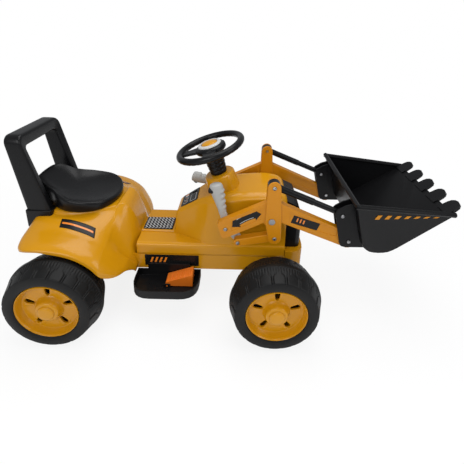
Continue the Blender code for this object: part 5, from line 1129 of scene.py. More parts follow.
@dataclass
class Wheel:
    """Tyre, dished rim with five slots, and hub cap."""

    end: str
    side: float
    x: float
    radius: float = 0.1155
    width: float = 0.095
    middle_y: float = 0.2065
    rim: float = 0.075
    lugs: int = 20
    ribs_per_lug: int = 5
    rib_depth: float = 0.0009
    arch_depth: float = 0.0007
    groove_depth: float = 0.0014
    ridge_half: float = 0.0052
    tyre_steps: int = 800
    slot_radius: float = 0.0475
    slot_half: tuple = (0.0120, 0.0060)
    dish: tuple = (0.034, 0.0640)
    dish_out: float = 0.0285
    dish_in: float = 0.0240
    hub_face: float = 0.0460
    cap_gap: float = 0.0003
    # Painted shade: a dark disc inside the rim, its place, reach and thickness
    shade_disc_offset: float = -0.010
    shade_disc_reach: tuple = (0.0172, 0.0714)
    shade_disc_half: float = 0.001
    bead: float = 0.0717
    hub_bore: float = 0.0056
    hub_depth: float = 0.0400
    slots: int = 5

    @property
    def word(self) -> str:
        """Name of the wheel's corner."""
        return f"{self.end}_{WORDS[self.side]}"

    def spin(self, grid: Array) -> Array:
        """Moves points from the wheel's own frame, with z outwards, to its place.

        Args:
            grid: points from the wheel's middle.

        Returns:
            The points in the vehicle's frame.
        """
        out = np.empty_like(grid)
        out[..., 0] = self.x + grid[..., 0]
        out[..., 2] = AXLE_HEIGHT + grid[..., 1]
        out[..., 1] = self.side * (self.middle_y + grid[..., 2])
        return out

    def tyre(self) -> bpy.types.Object:
        """Radius over angle and offset: a middle ridge, fine cross ribs and sloping shoulders with arches.

        Returns:
            The tyre.
        """
        bore = self.rim + 0.0006
        knots = np.array([(0.0430, bore), (0.0452, bore + 0.0012), (0.0468, bore + 0.0045),
                          (0.0474, 0.0850), (0.0475, 0.0876), (0.0473, 0.0925), (0.0469, 0.0965),
                          (0.0465, 0.0985), (0.0462, 0.1000), (0.0456, 0.1012), (0.0444, 0.1021),
                          (0.0420, 0.1031), (0.0350, 0.1053), (0.0260, 0.1082), (0.0170, 0.1110),
                          (0.0085, 0.1137), (0.0068, 0.1142), (0.0058, 0.1148), (0.0048, 0.1153),
                          (0.0030, self.radius)])
        half = spaced(knots, 3)
        line = np.concatenate([half, [(0.0, self.radius)], half[::-1] * (-1, 1)])
        s, r = line[:, 0][None, :], line[:, 1][None, :]
        turn = full_turn(self.tyre_steps)[:, None]
        wave = (turn * self.lugs / (2 * np.pi) + 0.5) % 1.0 - 0.5
        depth = np.abs(s)
        shoulder = r > 0.1000
        # An arch stands where the point lies inside a rounded door shape that opens towards the step
        up = np.clip((0.0300 - depth) / 0.0115, 0, None)
        door = np.sqrt((wave / 0.41) ** 2 + up ** 2)
        line_cut = np.exp(-((door - 1.05) / 0.075) ** 2)
        zone = smoothstep(0.0170, 0.0185, depth) * shoulder
        groove = zone * (self.groove_depth * line_cut + self.arch_depth * smoothstep(0.95, 1.05, door))
        rib = (0.5 + 0.5 * np.cos(turn * self.lugs * self.ribs_per_lug)) ** 2
        ribs = self.rib_depth * (1 - smoothstep(0.0160, 0.0175, depth)) * rib
        height = r - groove - ribs * (depth > self.ridge_half)
        grid = np.stack([np.sin(turn) * height, -np.cos(turn) * height, np.broadcast_to(s, height.shape)], 2)
        return grid_object(f"tread_tyre_{self.word}", self.spin(grid), wrap_rows=True, wrap_columns=True)

    def rim_pieces(self) -> list[bpy.types.Object]:
        """Turned lip and barrel, turned hub, and five plates that each run from slot edge to sector edge.

        Returns:
            Lip, hub and plates.
        """
        w = self.width / 2
        outer = [(self.dish[1], self.dish_out), (self.dish[1] + 0.0020, 0.0290), (0.0700, 0.0360),
                 (0.0712, 0.0410), (0.0722, 0.0445), (0.0735, 0.0460), (0.0745, 0.0455), (0.0750, 0.0440),
                 (0.0750, -w + 0.010), (0.0745, -w + 0.009), (self.bead, -w + 0.009), (self.bead, 0.0235),
                 (self.dish[1], self.dish_in)]
        hub = [(self.dish[0], self.dish_out), (0.0315, 0.0305), (0.0285, 0.0380), (0.0272, 0.0425),
               (0.0258, 0.0450), (0.0235, self.hub_face), (self.hub_bore, self.hub_face),
               (self.hub_bore, -self.hub_depth), (0.0160, -self.hub_depth), (0.0190, self.dish_in),
               (self.dish[0], self.dish_in)]
        y = self.side * self.middle_y
        pieces = []
        for name, profile in (("rim_lip", outer), ("rim_hub", hub)):
            made = lathe(f"{name}_{self.word}", profile, (self.x, y, AXLE_HEIGHT), (0, self.side, 0), 96,
                         loop=True)
            pieces.append(made)
        turn = full_turn(72)
        half_angle = np.pi / self.slots
        long, tall = self.slot_half
        straight = long - tall
        slot = np.stack([np.cos(turn) * tall + np.clip(np.cos(turn) * 4, -1, 1) * straight,
                         np.sin(turn) * tall], 1)
        reach = np.maximum(np.abs(np.cos(turn)), np.abs(np.sin(turn)))
        square = np.stack([np.cos(turn), np.sin(turn)], 1) / reach[:, None]
        middle_r = (self.dish[0] + self.dish[1]) / 2
        edge_r = middle_r + square[:, 0] * (self.dish[1] - self.dish[0]) / 2
        share = np.linspace(0, 1, 10)[:, None]
        lip = 0.0012 * np.exp(-((share - 0.16) / 0.10) ** 2)
        for k in range(self.slots):
            base = np.pi / 2 + k * 2 * half_angle
            slot_r = self.slot_radius + slot[:, 0]
            slot_a = base + slot[:, 1] / self.slot_radius
            edge_a = base + square[:, 1] * half_angle
            rows = []
            for offset, sign in ((self.dish_out, 1.0), (self.dish_in, -1.0)):
                r = (1 - share) * slot_r + share * edge_r
                a = (1 - share) * slot_a + share * edge_a
                z = offset + sign * lip * np.ones_like(r)
                z[0] -= sign * 0.0003
                rows.append(np.stack([r * np.cos(a), r * np.sin(a), z], 2))
            grid = np.concatenate([rows[0][::-1], rows[1]])
            made = grid_object(f"rim_sector_{k}_{self.word}", self.spin(grid), wrap_columns=True)
            pieces.append(made)
        return pieces

    def dress(self, finishes: Finishes) -> None:
        """Sets tyre, rim, a dark disc of painted shade inside the rim behind the slots, and the cap on the
        wheel's body.

        Args:
            finishes: the loader's materials.
        """
        body = f"wheel_{self.word}"
        settle(self.tyre(), body, finishes["tyre_black"], Slot.TYRE, [f"tyre_{self.word}"], 60)
        for k, made in enumerate(self.rim_pieces()):
            settle(made, body, finishes["body_yellow"], Slot.YELLOW, [f"rim_{self.word}"] if k == 0 else (),
                   38)
        cap = [(0.0, 0.0059), (0.0110, 0.0058), (0.0150, 0.0053), (0.0178, 0.0041), (0.0192, 0.0021),
               (0.0195, 0.0), (0.0, 0.0)]
        # Painted shade: a dark disc inside the barrel, so the slots show shade instead of the floor behind
        # the wheel
        shade_disc = [(self.shade_disc_reach[0], self.shade_disc_half), (self.shade_disc_reach[1], self.shade_disc_half),
               (self.shade_disc_reach[1], -self.shade_disc_half), (self.shade_disc_reach[0], -self.shade_disc_half)]
        y = self.side * (self.middle_y + self.shade_disc_offset)
        made = lathe(f"rim_shade_disc_{self.word}", shade_disc, (self.x, y, AXLE_HEIGHT), (0, self.side, 0), 72, loop=True)
        settle(made, body, finishes["satin_black"], Slot.BLACK)
        y = self.side * (self.middle_y + self.hub_face + self.cap_gap)
        made = lathe(f"hub_dome_{self.word}", cap, (self.x, y, AXLE_HEIGHT), (0, self.side, 0), 48)
        settle(made, body, finishes["body_yellow"], Slot.YELLOW, [f"hub_cap_{self.word}"])


# Steering


@dataclass
class SteeringWheel:
    """Rim, spokes, hub, horn and boot on the tilted column."""

    radius: float = 0.0885
    tube: float = 0.0095
    hub_radius: float = 0.043
    flutes: int = 36
    flute_depth: float = 0.055
    spoke_angles: tuple = (90, 270, 180)
    spoke_levels: tuple = (-0.006, 0.0012)
    boot_radius: float = 0.0222
    boot_flare: float = 0.0058
    boot_folds: float = 5.0
    fold_depth: float = 0.0013
    boot_bore: float = 0.006
    boot_top: float = -0.0203
    column: Column = field(default_factory=Column)

    def dress(self, finishes: Finishes) -> None:
        """Sets the wheel on the steering body, the button on the horn body and the boot on the root.

        Args:
            finishes: the loader's materials.
        """
        turn = full_turn(144)[:, None]
        tube = full_turn(24)[None, :]
        flute = (0.5 + 0.5 * np.cos(turn * self.flutes)) ** 4 * (np.sin(tube) < 0.3)
        swell = self.tube * (1 - self.flute_depth * flute)
        ring = self.radius + swell * np.cos(tube)
        grid = np.stack([ring * np.cos(turn), ring * np.sin(turn),
                         np.broadcast_to(swell * np.sin(tube), ring.shape)], 2)
        rim = grid_object("steering_rim", self.column.local(grid), wrap_rows=True, wrap_columns=True)
        settle(rim, "steering", finishes["satin_black"], Slot.BLACK, ["steering_wheel"], 60)
        hub = np.array([(0.0, 0.0070), (0.034, 0.0070), (0.0385, 0.0058), (0.0418, 0.0030),
                        (self.hub_radius, 0.0), (self.hub_radius, -0.007), (0.041, -0.010),
                        (0.032, -0.0175), (0.029, -0.020), (0.0, -0.020)])
        made = lathe("steering_hub", hub, self.column.hub, self.column.axis, 72)
        settle(made, "steering", finishes["satin_black"], Slot.BLACK)
        for k, angle in enumerate(self.spoke_angles):
            a = math.radians(angle)
            outline = np.array([(0.034, -0.021), (0.060, -0.0150), (0.087, -0.0135), (0.087, 0.0135),
                                (0.060, 0.0150), (0.034, 0.021)])
            spun = np.stack([outline[:, 0] * math.cos(a) - outline[:, 1] * math.sin(a),
                             outline[:, 0] * math.sin(a) + outline[:, 1] * math.cos(a)], 1)
            rows = [self.column.local(np.column_stack([spun, np.full(6, z)])) for z in self.spoke_levels]
            spoke = grid_object(f"steering_spoke_{k}", np.stack(rows), wrap_columns=True, capped=True)
            settle(bevel(spoke, 0.0022, 4), "steering", finishes["satin_black"], Slot.BLACK)
        ring_profile = [(0.0238, 0.0072), (0.0330, 0.0072), (0.0335, 0.0080), (0.0325, 0.0105),
                        (0.0290, 0.0125), (0.0250, 0.0130), (0.0240, 0.0125)]
        made = lathe("horn_collar", ring_profile, self.column.hub, self.column.axis, 72, loop=True)
        settle(made, "steering", finishes["ring_grey"], Slot.GREY, ["horn_ring"])
        button = [(0.0, 0.0168), (0.010, 0.0164), (0.017, 0.0150), (0.0210, 0.0130), (0.0228, 0.0105),
                  (0.023, 0.0075), (0.023, 0.002), (0.0, 0.002)]
        made = lathe("horn_dome", button, self.column.hub, self.column.axis, 64)
        settle(made, "horn", finishes["body_yellow"], Slot.YELLOW, ["horn_button"], 50)
        self.boot(finishes)

    def boot(self, finishes: Finishes) -> None:
        """Ridged sleeve: the radius grows up the column, with rounded steps.

        Args:
            finishes: the loader's materials.
        """
        low = 0.0003 + (COLUMN_FOOT - self.column.hub[2]) / math.cos(self.column.tilt)
        high = self.boot_top
        t = np.linspace(0, 1, 81)
        fold = np.abs(np.sin(t * math.pi * self.boot_folds)) ** 0.6
        radius = self.boot_radius + t * self.boot_flare + self.fold_depth * fold
        skin = np.stack([radius, low + t * (high - low)], 1)
        profile = np.concatenate([[(self.boot_bore, low)], skin, [(self.boot_bore, high)]])
        made = lathe("column_sleeve", profile, self.column.hub, self.column.axis, 64, loop=True)
        settle(made, "root", finishes["satin_black"], Slot.BLACK, ["column_boot"], 60)


# Loader


@dataclass
class Loader:
    """Arms, rocker plates, rods, levers, lower link and their bolts."""

    arm_middle: float = 0.120
    arm_in: float = 0.1107
    arm_out: float = 0.1293
    inner_in: float = 0.1063
    outer_in: float = 0.1297
    plate: float = 0.004
    bolt_radius: float = 0.0053
    bolt_gap: float = 0.0004
    lever_plate: float = 0.008
    barrel_share: float = 0.58
    arrow_band: float = 0.0105
    arrow_head: float = 0.0165
    arrow_bow: float = 0.0075
    arm_label: tuple = ((0.5865, 0.3185), (0.6565, 0.2955), (0.6485, 0.2740), (0.5795, 0.2970))
    arm_stripes: int = 3
    arm_stripe_start: tuple = (0.593, 0.3065)
    arm_stripe_step: tuple = (0.0085, -0.0030)
    arrow_ends: tuple = ((0.4290, 0.2795), (0.5020, 0.3210))
    pivot_o: tuple = (0.530, 0.3015)
    pivot_t: tuple = (0.531, 0.3965)
    pivot_k: tuple = (0.540, 0.250)
    pivot_p: tuple = (0.412, 0.272)
    pivot_l: tuple = (0.445, 0.231)
    pivot_u: tuple = (0.7095, 0.3233)
    pivot_b: tuple = (0.7345, 0.2475)
    grip_length: float = 0.122
    grip_angle: float = math.radians(101)
    left_back: float = math.radians(60)
    grip_start: float = 0.20
    grip_drift: float = 0.006
    grip_width: tuple = ((0, 0.0085), (0.22, 0.0088), (0.40, 0.0110), (0.60, 0.0140), (0.80, 0.0175),
                         (0.92, 0.0172), (0.95, 0.0160))
    grip_thick: tuple = ((0, 0.0035), (0.28, 0.0037), (0.38, 0.0092), (0.55, 0.0112), (0.8, 0.0135),
                         (0.93, 0.0128), (0.95, 0.0124))
    finger_depth: float = 0.0018
    finger_pitch: float = 0.135
    neck_share: float = 0.26
    knob_share: float = 0.66
    knob_back: float = 0.0185

    def bolt(self, name: str, node: str, at: tuple, low: float, high: float, side: float, body: str,
             finishes: Finishes) -> None:
        """A bolt with a domed head outside and a plain one inside.

        Args:
            name: piece name.
            node: frame node it stands for.
            at: x and z of its axis.
            low: distance from the middle plane of the inner head's face.
            high: the same of the outer head's face.
            side: right or left.
            body: the body it rides on.
            finishes: the materials.
        """
        radius = self.bolt_radius
        dome = [(0.0, 0.0029), (radius * 0.30, 0.0028), (radius * 0.36, 0.0018), (radius * 0.52, 0.0018),
                (radius * 0.60, 0.0027), (radius * 0.85, 0.0020), (radius, 0.0006), (radius, 0.0)]
        back = [(0.0040, 0.0), (0.0040, low - high), (radius * 0.9, low - high),
                (radius * 0.8, low - high - 0.0028), (0.0, low - high - 0.0028)]
        made = lathe(name, dome + back, (at[0], side * high, at[1]), (0, side, 0), 32)
        settle(made, body, finishes["zinc"], Slot.STEEL, [node])

    def arms(self, finishes: Finishes) -> None:
        """The two bent arms, with their labels.

        Args:
            finishes: the loader's materials.
        """
        for side in (RIGHT, LEFT):
            word = WORDS[side]
            arm = copy_of(f"boom_{word}", 0.0012, 3)
            settle(arm, "boom", finishes["arm_orange"], Slot.YELLOW, [f"boom_{word}"], 40)
            y = side * (self.arm_out - 0.0015)
            made = prism(f"arm_label_{word}", corner_round(self.arm_label, 0.0008, 2), y, y + side * FILM)
            settle(made, "boom", finishes["label_black"], Slot.BLACK)
            for k in range(self.arm_stripes):
                x, z = (v + k * step for v, step in zip(self.arm_stripe_start, self.arm_stripe_step))
                bar = np.array([(x, z - 0.0065), (x + 0.0035, z - 0.0077), (x + 0.0065, z + 0.0030),
                                (x + 0.0030, z + 0.0042)])
                made = prism(f"arm_stripe_{k}_{word}", bar, y, y + side * MARK)
                settle(made, "boom", finishes["label_orange"], Slot.ORANGE)
            self.arrow(side, y, finishes)

    def arrow(self, side: float, y: float, finishes: Finishes) -> None:
        """Curved double-headed arrow on the arm's rear panel: a band along a flat arc with two heads.

        Args:
            side: right or left.
            y: where the label's back lies.
            finishes: the loader's materials.
        """
        start, end = np.array(self.arrow_ends)
        way = (end - start) / np.linalg.norm(end - start)
        up = np.array((-way[1], way[0]))
        length = float(np.linalg.norm(end - start))
        t = np.linspace(0.20, 0.80, 25)
        bow = self.arrow_bow * (1 - (2 * t - 1) ** 2)
        centre = start + way * (t * length)[:, None] + up * bow[:, None]
        slope = -self.arrow_bow * 4 * (2 * t - 1) / length
        normal = up - way * slope[:, None]
        normal /= np.linalg.norm(normal, axis=1)[:, None]
        upper, lower = centre + normal * self.arrow_band, centre - normal * self.arrow_band
        wide = normal * self.arrow_head
        head_a = np.array([centre[0] - wide[0], start - up * 0.001, centre[0] + wide[0]])
        head_b = np.array([centre[-1] + wide[-1], end - up * 0.001, centre[-1] - wide[-1]])
        outline = np.concatenate([head_a, upper, head_b, lower[::-1]])
        made = prism(f"arm_arrow_{WORDS[side]}", outline, y, y + side * FILM)
        settle(made, "boom", finishes["label_black"], Slot.BLACK)
        for k, (low, high) in enumerate(((-0.0080, -0.0066), (0.0066, 0.0080))):
            band = np.concatenate([centre[2:-2] + normal[2:-2] * high,
                                   (centre[2:-2] + normal[2:-2] * low)[::-1]])
            made = prism(f"arm_arrow_line_{k}_{WORDS[side]}", band, y, y + side * MARK)
            settle(made, "boom", finishes["ring_grey"], Slot.GREY)

    def rockers(self, finishes: Finishes) -> None:
        """Rocker plate pairs, push rods and their bolts.

        Args:
            finishes: the loader's materials.
        """
        outline = disc_hull([(self.pivot_t, 0.0165), ((self.pivot_o[0] + 0.004, self.pivot_o[1]), 0.0205),
                             (self.pivot_k, 0.0165)], 96)
        for side in (RIGHT, LEFT):
            word = WORDS[side]
            for which, low in (("inner", self.inner_in), ("outer", self.outer_in)):
                made = prism(f"rocker_plate_{which}_{word}", outline, side * low, side * (low + self.plate))
                settle(bevel(made, 0.0010, 3, 60), f"rocker_{word}", finishes["arm_orange"], Slot.ORANGE,
                       [f"rocker_{which}_{word}"])
            for where, at in (("top", self.pivot_t), ("low", self.pivot_k)):
                self.bolt(f"rocker_{where}_screw_{word}", f"rocker_bolt_{where}_{word}", at,
                          self.inner_in - self.bolt_gap, self.outer_in + self.plate + self.bolt_gap, side,
                          f"rocker_{word}", finishes)
            self.rod(side, finishes)
        settle(copy_of("boom_axle", 0.0006, 2), "boom", finishes["zinc"], Slot.STEEL, ["boom_axle"])

    def rod(self, side: float, finishes: Finishes) -> None:
        """Push rod: eye plates joined by a turned barrel that steps down to the rod.

        Args:
            side: right or left.
            finishes: the loader's materials.
        """
        word = WORDS[side]
        y = side * self.arm_middle
        start, end = np.array((self.pivot_t[0], y, self.pivot_t[1])), np.array((self.pivot_u[0], y,
                                                                                self.pivot_u[1]))
        length = float(np.linalg.norm(end - start))
        step = length * self.barrel_share
        profile = [(0.0, 0.010), (0.0086, 0.010), (0.0090, 0.0105), (0.0091, step - 0.004),
                   (0.0091, step - 0.0012), (0.0084, step), (0.0078, step + 0.0005),
                   (0.0078, length - 0.008), (0.0, length - 0.008)]
        body = f"rod_{word}"
        made = lathe(f"rod_barrel_{word}", profile, start, end - start, 40)
        settle(made, body, finishes["satin_black"], Slot.BLACK, [f"push_rod_{word}"])
        for name, at, radius in (("rear", self.pivot_t, 0.0160), ("front", self.pivot_u, 0.0125)):
            eye = prism(f"rod_eye_{name}_{word}", circle(radius, 48, at), side * self.arm_in,
                        side * self.arm_out)
            settle(bevel(eye, 0.0008, 2), body, finishes["satin_black"], Slot.BLACK)

    @property
    def lever_inner(self) -> float:
        """Distance of a lever's inner face from the middle plane."""
        return self.arm_in - self.bolt_gap - self.lever_plate

    def lean(self, side: float) -> float:
        """How far a lever stands back from the right one's pose, in radians."""
        return self.left_back if side == LEFT else 0.0

    def grip_ways(self, side: float) -> tuple[Array, Array]:
        """Unit vectors up the grip and across it, towards its front.

        Args:
            side: right or left.

        Returns:
            Both vectors.
        """
        angle = self.grip_angle + self.lean(side)
        return (np.array((math.cos(angle), 0.0, math.sin(angle))),
                np.array((math.sin(angle), 0.0, -math.cos(angle))))

    def grip_line(self, side: float, share: Array) -> Array:
        """Middle line of the grip: up from the pivot by shares of its length, drifting back and inwards.

        Args:
            side: right or left.
            share: shares of the grip's length.

        Returns:
            One point per share.
        """
        way, across = self.grip_ways(side)
        pivot = np.array((self.pivot_p[0], 0.0, self.pivot_p[1]))
        line = pivot + way * (self.grip_length * share)[:, None] - across * (self.grip_drift * share)[:, None]
        middle = self.lever_inner + self.lever_plate / 2 - 0.003 * np.clip((share - 0.28) / 0.1, 0, 1)
        line[:, 1] = side * middle
        return line

    def grip(self, side: float, finishes: Finishes) -> None:
        """Pistol grip: an ellipse carried up its line, with a round end and cosine waves for the fingers.

        Args:
            side: right or left.
            finishes: the loader's materials.
        """
        rounding = 1 - 0.05 * np.cos(np.linspace(0, np.pi / 2, 12))[1:]
        share = np.concatenate([np.linspace(self.grip_start, 0.95, 76), rounding])
        close = np.sqrt(np.clip(1 - (np.clip(share - 0.95, 0, 1) / 0.05) ** 2, 0.0, 1))
        width, thick = table(self.grip_width, share) * close, table(self.grip_thick, share) * close
        turn = full_turn(40)
        waves = self.finger_depth * np.cos((share - 0.42) * 2 * np.pi / self.finger_pitch)
        waves = waves * smoothstep(0.34, 0.42, share)
        waves = waves * (1 - smoothstep(0.80, 0.88, share))
        reach = width[:, None] * np.cos(turn) + waves[:, None] * smoothstep(0.1, 0.7, np.cos(turn))
        grid = (self.grip_line(side, share)[:, None, :] + reach[:, :, None] * self.grip_ways(side)[1]
                + (thick[:, None] * np.sin(turn))[:, :, None] * np.array((0.0, 1.0, 0.0)))
        made = grid_object(f"grip_{WORDS[side]}", grid, wrap_columns=True, capped=True)
        settle(made, f"lever_{WORDS[side]}_body", finishes["grip_grey"], Slot.GREY, (), 60)

    def lever_plates(self, side: float, finishes: Finishes) -> None:
        """Flat plates from the pivot to the neck and to the tail's pivot, each a hull round two discs.

        Args:
            side: right or left.
            finishes: the loader's materials.
        """
        word, way = WORDS[side], self.grip_ways(side)[0]
        out, up = self.pivot_l[0] - self.pivot_p[0], self.pivot_l[1] - self.pivot_p[1]
        turn = math.atan2(up, out) + self.lean(side)
        reach = math.dist(self.pivot_l, self.pivot_p)
        tail = (self.pivot_p[0] + reach * math.cos(turn), self.pivot_p[1] + reach * math.sin(turn))
        neck = (self.pivot_p[0] + way[0] * self.grip_length * self.neck_share,
                self.pivot_p[1] + way[2] * self.grip_length * self.neck_share)
        for name, discs, low, nodes in (
                ("neck", [(self.pivot_p, 0.0125), (neck, 0.0085)], self.lever_inner, [f"lever_{word}"]),
                ("tail", [(self.pivot_p, 0.0124), (tail, 0.011)], self.lever_inner + 0.0001, ())):
            made = prism(f"lever_{name}_{word}", disc_hull(discs, 64), side * low, side * (low + 0.0078))
            settle(bevel(made, 0.0012, 3, 60), f"lever_{word}_body", finishes["grip_grey"], Slot.GREY, nodes)

    def thumb_knob(self, side: float, finishes: Finishes) -> None:
        """Turned black knob at the grip's back.

        Args:
            side: right or left.
            finishes: the loader's materials.
        """
        way, across = self.grip_ways(side)
        start = self.grip_line(side, np.array([self.grip_start]))[0]
        at = start + way * self.grip_length * self.knob_share - across * self.knob_back
        knob = [(0.0, 0.0075), (0.0045, 0.0070), (0.0072, 0.0052), (0.0084, 0.0024), (0.0084, -0.006),
                (0.0, -0.006)]
        made = lathe(f"grip_thumb_{WORDS[side]}", knob, at, -across + way * 0.35, 32)
        settle(made, f"lever_{WORDS[side]}_body", finishes["satin_black"], Slot.BLACK)

    def levers(self, finishes: Finishes) -> None:
        """Both levers with their bolts, and the right side's lower link with its own.

        Args:
            finishes: the loader's materials.
        """
        low, high = self.lever_inner - self.bolt_gap, self.arm_out + self.bolt_gap
        for side in (RIGHT, LEFT):
            word = WORDS[side]
            self.grip(side, finishes)
            self.lever_plates(side, finishes)
            self.thumb_knob(side, finishes)
            self.bolt(f"boom_screw_{word}", f"boom_bolt_{word}", self.pivot_p, low, high, side, "boom",
                      finishes)
        link = prism("lower_link", disc_hull([(self.pivot_l, 0.0105), (self.pivot_k, 0.0115)], 64),
                     RIGHT * self.arm_in, RIGHT * self.arm_out)
        settle(bevel(link, 0.0014, 3, 60), "link", finishes["arm_orange"], Slot.ORANGE, ["lower_link_right"])
        self.bolt("link_screw", "link_bolt_right", self.pivot_l, low, high, RIGHT, "link", finishes)

    def dress(self, finishes: Finishes) -> None:
        """Builds the whole linkage.

        Args:
            finishes: the loader's materials.
        """
        self.arms(finishes)
        self.rockers(finishes)
        self.levers(finishes)


@dataclass
class Bucket:
    """The bucket with its slanted side stripes and bolts."""

    rear_half: float = 0.162
    front_half: float = 0.149
    rear_x: float = 0.731
    lip_x: float = 0.985
    stripes: int = 7
    stripe_start: float = 0.779
    stripe_pitch: float = 0.0247
    stripe_low: tuple = (0.3340, 0.0006)
    stripe_high: tuple = (0.3455, -0.0008)
    stripe_wide: float = 0.011
    stripe_lean: float = 0.007

    def half(self, x: Array) -> Array:
        """Half width of the side wall at x."""
        share = (x - self.rear_x) / (self.lip_x - self.rear_x)
        return self.rear_half + share * (self.front_half - self.rear_half)

    def dress(self, finishes: Finishes, loader: Loader) -> None:
        """Sets bucket, stripes and bolts on the bucket's body.

        Args:
            finishes: the loader's materials.
            loader: the linkage, whose pivots and spacing the bolts share.
        """
        made = copy_of("bucket", 0.0009, 2, 28)
        settle(made, "bucket_body", finishes["bucket_black"], Slot.BLACK, ["bucket"], 34)
        for side in (RIGHT, LEFT):
            for k in range(self.stripes):
                x0 = self.stripe_start + k * self.stripe_pitch
                x1, lean = x0 + self.stripe_wide, self.stripe_lean
                low, high = (start + k * change for start, change in (self.stripe_low, self.stripe_high))
                corners = np.array([(x0, low), (x1, low), (x1 + lean, high), (x0 + lean, high)])
                wall = self.half(corners[:, 0])
                rows = [np.column_stack([corners[:, 0], side * (wall + out),
                                         corners[:, 1]]) for out in (0.0003, 0.0007)]
                made = grid_object(f"bucket_stripe_{k}_{WORDS[side]}", np.stack(rows), wrap_columns=True,
                                   capped=True)
                settle(made, "bucket_body", finishes["arm_orange"], Slot.ORANGE)
            for where, at in (("top", loader.pivot_u), ("low", loader.pivot_b)):
                loader.bolt(f"bucket_{where}_screw_{WORDS[side]}", f"bucket_bolt_{where}_{WORDS[side]}", at,
                            loader.inner_in - loader.bolt_gap,
                            loader.outer_in + loader.plate + loader.bolt_gap, side, "bucket_body", finishes)


@dataclass
class Underworks:
    """Tray, grille, footrests, pedal, axles and the other pieces that keep the frame's own shape."""

    looks: tuple = (("chassis_tray", "root", "body_yellow", Slot.YELLOW, 0.0022),
                    ("grille", "root", "satin_black", Slot.BLACK, 0.0008),
                    ("footrest_right", "root", "satin_black", Slot.BLACK, 0.0012),
                    ("footrest_left", "root", "satin_black", Slot.BLACK, 0.0012),
                    ("pedal", "pedal_body", "pedal_orange", Slot.ORANGE, 0.0009),
                    ("rear_axle", "root", "zinc", Slot.STEEL, 0.0004),
                    ("gear_motor", "root", "satin_black", Slot.BLACK, 0.0010),
                    ("battery", "root", "satin_black", Slot.BLACK, 0.0010),
                    ("front_axle_beam", "root", "satin_black", Slot.BLACK, 0.0010),
                    ("knuckle_right", "knuckle_right_body", "zinc", Slot.STEEL, 0.0005),
                    ("knuckle_left", "knuckle_left_body", "zinc", Slot.STEEL, 0.0005),
                    ("tie_rod", "tie", "zinc", Slot.STEEL, 0.0004),
                    ("steering_shaft", "steering", "zinc", Slot.STEEL, 0.0004))
    well: tuple = ((0.251, -0.1325), (0.326, -0.0975))
    pan_rings: tuple = ((0.007, 0.0792), (0.007, 0.0833), (0.005, 0.0833), (0.005, 0.0806))

    def dress(self, finishes: Finishes) -> None:
        """Sets a cleaned copy of each node on its body.

        Args:
            finishes: the loader's materials.
        """
        for node, body, look, slot, width in self.looks:
            settle(copy_of(node, width, 3), body, finishes[look], slot, [node], 35)
        self.pan(finishes)

    def pan(self, finishes: Finishes) -> None:
        """Shallow dark pan that closes the pedal's well from below, clear of the pressed pedal.

        Args:
            finishes: the loader's materials.
        """
        rings = []
        (rear, outer), (front, inner) = self.well
        for margin, z in self.pan_rings:
            low, high = (rear - margin, outer - margin), (front + margin, inner + margin)
            outline = corner_round([low, (high[0], low[1]), high, (low[0], high[1])], 0.003, 4)
            rings.append(np.column_stack([outline, np.full(len(outline), z)]))
        made = grid_object("pedal_pan", np.stack(rings), wrap_columns=True, capped=True)
        settle(made, "root", finishes["satin_black"], Slot.BLACK)


# Studio


